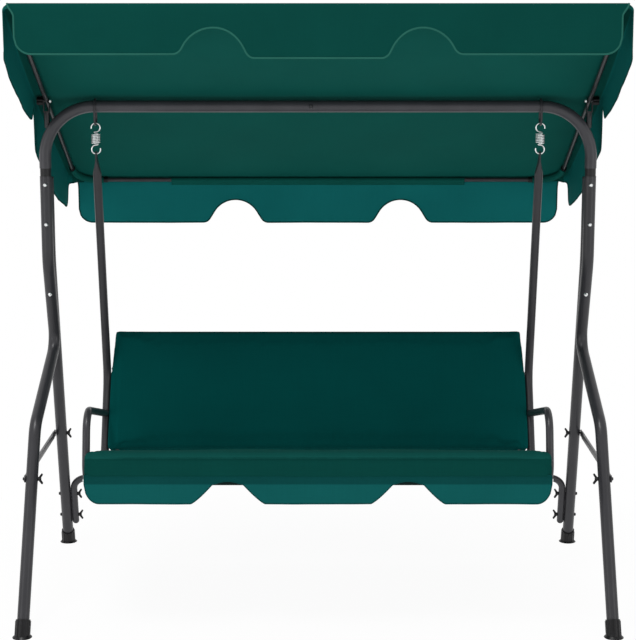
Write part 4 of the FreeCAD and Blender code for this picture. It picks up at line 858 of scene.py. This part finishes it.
def rounded_section(low, high, radius, crown, base_crown=0.0, steps=5):
    """Rounded rectangle, its top arched by crown and its base by base_crown."""
    (a0, b0), (a1, b1) = low, high
    points = []
    corners = ((a1 - radius, b0 + radius, -90), (a1 - radius, b1 - radius, 0),
               (a0 + radius, b1 - radius, 90), (a0 + radius, b0 + radius, 180))
    for index, (a, b, start) in enumerate(corners):
        for step in range(steps + 1):
            angle = math.radians(start + 90 * step / steps)
            points.append([a + radius * math.cos(angle), b + radius * math.sin(angle)])
        following = corners[(index + 1) % 4]
        if index in (1, 3):
            first = points[-1]
            for step in range(1, 24):
                share = step / 24
                target = following[0]
                points.append([first[0] + (target - first[0]) * share, first[1]])
    middle, half = (a0 + a1) / 2, (a1 - a0) / 2
    for point in points:
        arch = max(1 - ((point[0] - middle) / half) ** 2, 0.0)
        point[1] += crown * arch if point[1] > (b0 + b1) / 2 else -base_crown * arch
    return [tuple(point) for point in points]


def end_draw(x, half, radius):
    """How far a round end draws in: a cushion's section, or a corner of the canopy."""
    over = abs(x) - (half - radius)
    if over <= 0:
        return 0.0
    return radius - math.sqrt(max(radius * radius - over * over, 0.0))


def cushion_stations(half, end_r, count=41):
    """Places of a cushion's sections, closer together round its ends."""
    core = np.linspace(-(half - end_r), half - end_r, count)
    ends = half - end_r + end_r * np.sin(np.linspace(0, math.pi / 2, 7)[1:])
    return np.concatenate([-ends[::-1], core, ends])


def to_arrays(piece):
    """Places of a piece's vertices."""
    points = np.empty(len(piece.data.vertices) * 3)
    piece.data.vertices.foreach_get("co", points)
    return points.reshape(-1, 3)


def swell(piece, pinned, cap, pressure, voxel):
    """Fill a cushion by a short cloth simulation, then keep each point within its cap."""
    remesh = piece.modifiers.new("even", "REMESH")
    remesh.mode = "VOXEL"
    remesh.voxel_size = voxel
    apply_modifiers(piece)
    rest = to_arrays(piece)
    group = piece.vertex_groups.new(name="held")
    held = pinned(rest)
    for index in np.nonzero(held > 0.01)[0]:
        group.add([int(index)], float(held[index]), "REPLACE")
    cloth = piece.modifiers.new("fill", "CLOTH")
    cloth.settings.quality = 5
    cloth.settings.mass = 0.3
    cloth.settings.tension_stiffness = 18
    cloth.settings.compression_stiffness = 12
    cloth.settings.shear_stiffness = 6
    cloth.settings.bending_stiffness = 0.4
    cloth.settings.shrink_min = -0.012
    cloth.settings.use_pressure = True
    cloth.settings.uniform_pressure_force = pressure
    cloth.settings.vertex_group_mass = "held"
    cloth.settings.effector_weights.gravity = 0.0
    cloth.collision_settings.use_collision = False
    cloth.point_cache.frame_start = 1
    cloth.point_cache.frame_end = 20
    for number in range(1, 21):
        bpy.context.scene.frame_set(number)
    apply_modifiers(piece)
    bpy.context.scene.frame_set(1)
    piece.vertex_groups.clear()
    points = to_arrays(piece)
    shift = points - rest
    size = np.linalg.norm(shift, axis=1)
    most = cap(rest)
    limit = np.minimum(most / np.maximum(size, 1e-9), 1.0)
    points = rest + shift * limit[:, None]
    piece.data.vertices.foreach_set("co", points.ravel())
    smooth = piece.modifiers.new("round", "SUBSURF")
    smooth.levels = 1
    smooth.render_levels = 1
    apply_modifiers(piece)


def apply_modifiers(piece):
    """Keep the evaluated mesh as the piece's own."""
    graph = bpy.context.evaluated_depsgraph_get()
    made = bpy.data.meshes.new_from_object(piece.evaluated_get(graph), depsgraph=graph)
    old = piece.data
    piece.modifiers.clear()
    piece.data = made
    bpy.data.meshes.remove(old)
    piece.data.polygons.foreach_set("use_smooth", [True] * len(piece.data.polygons))


def seat_coords(points):
    """u and w of points in the shared frame."""
    y = points[:, 1] + MIDDLE_Y
    u = y * math.cos(SEAT_TILT) - points[:, 2] * math.sin(SEAT_TILT)
    w = y * math.sin(SEAT_TILT) + points[:, 2] * math.cos(SEAT_TILT)
    return u, w


def back_coords(points):
    """up and out of points in the shared frame."""
    u, w = seat_coords(points)
    du, dw = u - BACK_FOOT[0], w - BACK_FOOT[1]
    up = du * math.sin(BACK_ANGLE) + dw * math.cos(BACK_ANGLE)
    out = -du * math.cos(BACK_ANGLE) + dw * math.sin(BACK_ANGLE)
    return up, out


def build_seat_cushion():
    """Seat cushion: a crowned pad with a front roll that wraps past the armrest posts."""
    pad = []
    for x in cushion_stations(PAD_HALF, PAD_END_R):
        draw = end_draw(x, PAD_HALF, PAD_END_R)
        crown = 0.005 * (1 - (x / PAD_HALF) ** 4)
        low = (PAD_LOW[0] + draw, PAD_LOW[1] + 0.5 * draw)
        high = (PAD_HIGH[0] - draw, PAD_HIGH[1] - draw)
        pad.append((x, rounded_section(low, high, 0.013, crown)))
    verts, faces = loft_mesh(pad, seat_point)
    roll = []
    for x in cushion_stations(EAR_HALF, EAR_END_R):
        draw = end_draw(x, EAR_HALF, EAR_END_R)
        section = []
        for u, w in ROLL:
            section.append((u + (ROLL_MIDDLE[0] - u) * draw / 0.034, w + (ROLL_MIDDLE[1] - w) * draw / 0.052))
        roll.append((x, section))
    roll_verts, roll_faces = loft_mesh(roll, seat_point)
    offset = len(verts)
    faces += [tuple(index + offset for index in face) for face in roll_faces]
    cushion = mesh_object("seat_cushion", verts + roll_verts, faces, SEAT_CLOTH)

    def pinned(points):
        u, w = seat_coords(points)
        base = (w < 0.3585) & (u > -0.505)
        seam = np.exp(-((w - SEAM_W) / 0.004) ** 2) * (u < -0.528)
        rear_ear = (u > -0.500) & (u < -0.48) & (np.abs(points[:, 0]) > PAD_HALF + 0.002)
        return np.clip(base * 1.0 + seam + rear_ear * 1.0, 0.0, 1.0)

    def cap(points):
        u, w = seat_coords(points)
        most = np.full(len(points), 0.007)
        most[np.abs(points[:, 0]) > PAD_HALF - 0.004] = 0.0022
        most[w > 0.395] = 0.0020
        most[u < -0.44] = 0.0012
        most[u > -0.10] = 0.0012
        return most

    swell(cushion, pinned, cap, 4.0, 0.0052)
    points = to_arrays(cushion)
    u, w = seat_coords(points)
    groove = np.exp(-((w - SEAM_W) / 0.0032) ** 2) * np.clip((-0.5285 - u) / 0.004, 0, 1)
    groove *= 1 - 0.85 * np.clip((np.abs(points[:, 0]) - 0.54) / 0.08, 0, 1)
    pull = 0.0050 * groove * (1 + 0.05 * np.sin(points[:, 0] / 0.0095))
    points[:, 1] += pull * math.cos(SEAT_TILT)
    points[:, 2] -= pull * math.sin(SEAT_TILT)
    sit = np.clip((w - 0.40) / 0.02, 0, 1) * np.clip((-0.13 - u) / 0.08, 0, 1)
    sit *= np.clip((u + 0.52) / 0.06, 0, 1)
    for middle in SITTERS_X:
        dent = 0.0035 * sit * np.exp(-((points[:, 0] - middle) / 0.13) ** 2 - ((u + 0.30) / 0.11) ** 2)
        points[:, 1] -= dent * math.sin(SEAT_TILT)
        points[:, 2] -= dent * math.cos(SEAT_TILT)
    cushion.data.vertices.foreach_set("co", points.ravel())
    cushion.data.update()
    cushion.data.materials.append(FACE_SHADE_CLOTH)
    # Faces below the seam on the front take the darker face cloth, painted shade
    for face in cushion.data.polygons:
        face.material_index = int(w[list(face.vertices)].mean() < SEAM_W and u[face.vertices[0]] < -0.515)
    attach(cushion, "seat")
    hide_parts("seat_pad")
    across = np.linspace(-0.560, 0.560, 240)
    path = [seat_point(x, -0.5362, SEAM_W - 0.0052) for x in across]
    normal = np.tile([0.0, -math.cos(SEAT_TILT), math.sin(SEAT_TILT)], (len(path), 1))
    row = stitch_row("seat_seam_stitches", path, normal)
    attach(row, "seat")


def build_back_cushion():
    """Back cushion: a taut cover over the back frame, crowned, with its ends drawn in."""
    half = BACK_HALF
    low_up, high_up = BACK_UP
    stations = []
    for x in cushion_stations(half, BACK_END_R):
        draw = end_draw(x, half, BACK_END_R)
        crown = 0.0055 * (1 - (x / half) ** 4)
        low = (low_up + 0.3 * draw, -BACK_OUT + 0.55 * draw)
        high = (high_up - draw, BACK_OUT - 0.55 * draw)
        stations.append((x, rounded_section(low, high, 0.0105, crown, 0.5 * crown)))

    def place(x, up, out):
        """Sides that taper upwards, with a front edge that laps over the hanger tubes."""
        lap = 0.0150 * ease(out, 0.0115, 0.0165) * (1 - ease(up, 0.31, high_up))
        return back_point(x * (1.0105 - 0.025 * up + lap), up, out)

    verts, faces = loft_mesh(stations, place)
    cushion = mesh_object("back_cushion", verts, faces, BACK_LIT_CLOTH)

    def pinned(points):
        up, out = back_coords(points)
        rim = (up < low_up + 0.010) | (up > high_up - 0.010) | (np.abs(points[:, 0]) > half - 0.008)
        return rim * (np.abs(out) < 0.008) * 1.0

    def cap(points):
        most = np.full(len(points), 0.005)
        most[np.abs(points[:, 0]) > half - 0.014] = 0.0012
        return most

    swell(cushion, pinned, cap, 4.0, 0.0062)
    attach(cushion, "seat")
    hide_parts("back_pad")


# Stage

def area_light(name, place, target, size, power):
    """Round soft lamp that looks at a target."""
    data = bpy.data.lights.new(name, "AREA")
    data.shape = "DISK"
    data.size = size
    data.energy = power
    lamp = bpy.data.objects.new(name, data)
    lamp.location = place
    lamp.rotation_euler = (Vector(target) - Vector(place)).to_track_quat("-Z", "Y").to_euler()
    bpy.context.scene.collection.objects.link(lamp)


def white_for_camera(nodes, links):
    """1 for rays that come from the camera, straight or by a mirror or glass."""
    ray = nodes.new("ShaderNodeLightPath")
    seen = combine(nodes, links, "MAXIMUM", ray.outputs["Is Camera Ray"], ray.outputs["Is Transmission Ray"])
    return combine(nodes, links, "MAXIMUM", seen, ray.outputs["Is Glossy Ray"])


def build_stage():
    """White studio: soft light from all round, a floor that fades to white away from the bench."""
    world = bpy.data.worlds.new("studio")
    bpy.context.scene.world = world
    world.use_nodes = True
    nodes, links = world.node_tree.nodes, world.node_tree.links
    soft = nodes["Background"]
    soft.inputs["Color"].default_value = (1.0, 1.0, 1.0, 1.0)
    soft.inputs["Strength"].default_value = 0.50
    seen = nodes.new("ShaderNodeBackground")
    seen.inputs["Color"].default_value = (1.0, 1.0, 1.0, 1.0)
    seen.inputs["Strength"].default_value = 1.0
    mix = nodes.new("ShaderNodeMixShader")
    links.new(white_for_camera(nodes, links), mix.inputs["Fac"])
    links.new(soft.outputs["Background"], mix.inputs[1])
    links.new(seen.outputs["Background"], mix.inputs[2])
    links.new(mix.outputs["Shader"], nodes["World Output"].inputs["Surface"])
    size = 30.0
    corners = [(-size, -size, 0), (size, -size, 0), (size, size, 0), (-size, size, 0)]
    material, nodes, links, shader = new_material("studio_floor")
    shader.inputs["Base Color"].default_value = (0.93, 0.93, 0.935, 1.0)
    shader.inputs["Roughness"].default_value = 0.9
    shader.inputs["Specular IOR Level"].default_value = 0.05
    place = nodes.new("ShaderNodeTexCoord").outputs["Object"]
    away = nodes.new("ShaderNodeVectorMath")
    away.operation = "LENGTH"
    links.new(place, away.inputs[0])
    far = nodes.new("ShaderNodeMapRange")
    far.inputs["From Min"].default_value = 0.5
    far.inputs["From Max"].default_value = 1.5
    far.inputs["To Min"].default_value = 0.94
    links.new(away.outputs["Value"], far.inputs["Value"])
    glow = nodes.new("ShaderNodeEmission")
    glow.inputs["Color"].default_value = (1.0, 1.0, 1.0, 1.0)
    seen = white_for_camera(nodes, links)
    links.new(ramp_value(nodes, links, seen, 2.0, 1.0), glow.inputs["Strength"])
    share = combine(nodes, links, "MULTIPLY", far.outputs["Result"], seen)
    bounce = combine(nodes, links, "MULTIPLY", combine(nodes, links, "SUBTRACT", 1.0, seen), 0.5)
    mix = nodes.new("ShaderNodeMixShader")
    links.new(combine(nodes, links, "ADD", share, bounce), mix.inputs["Fac"])
    links.new(shader.outputs["BSDF"], mix.inputs[1])
    links.new(glow.outputs["Emission"], mix.inputs[2])
    links.new(mix.outputs["Shader"], nodes["Material Output"].inputs["Surface"])
    floor = mesh_object("floor", corners, [(0, 1, 2, 3)], material)
    floor.location.z = -0.0005
    area_light("key", (-1.2, -2.3, 4.8), (0, -0.2, 0.8), 1.6, 120.0)
    area_light("left", (-3.2, -3.0, 1.1), (0, 0, 1.0), 1.6, 13.0)
    area_light("right", (3.2, -3.0, 1.1), (0, 0, 1.0), 1.6, 13.0)
    area_light("rim", (0.0, 4.6, 3.6), (0, 0, 0.9), 3.0, 40.0)


def build_camera():
    """Camera at the photograph's place and angle."""
    data = bpy.data.cameras.new("camera")
    data.sensor_width = SENSOR_MM
    data.lens = SENSOR_MM * FOCAL_PX / FRAME_PX
    camera = bpy.data.objects.new("camera", data)
    camera.location = CAMERA_PLACE
    camera.rotation_euler = (CAMERA_ANGLE, 0.0, 0.0)
    bpy.context.scene.collection.objects.link(camera)
    bpy.context.scene.camera = camera


bpy.context.scene.view_settings.view_transform = "Standard"
build_camera()
dress_nodes()
build_canopy()
build_end_flap("front", 0.1185, 0.010, 0.690, 0.0165, FRONT_SHADE_CLOTH, BINDING_CLOTH, 0.0050)
build_end_flap("rear", 0.1435, 0.0, 0.485, 0.0030, REAR_LIT_CLOTH, HEM_CLOTH, 0.0045)
build_sling()
build_seat_cushion()
build_skirt()
build_back_cushion()
build_stage()
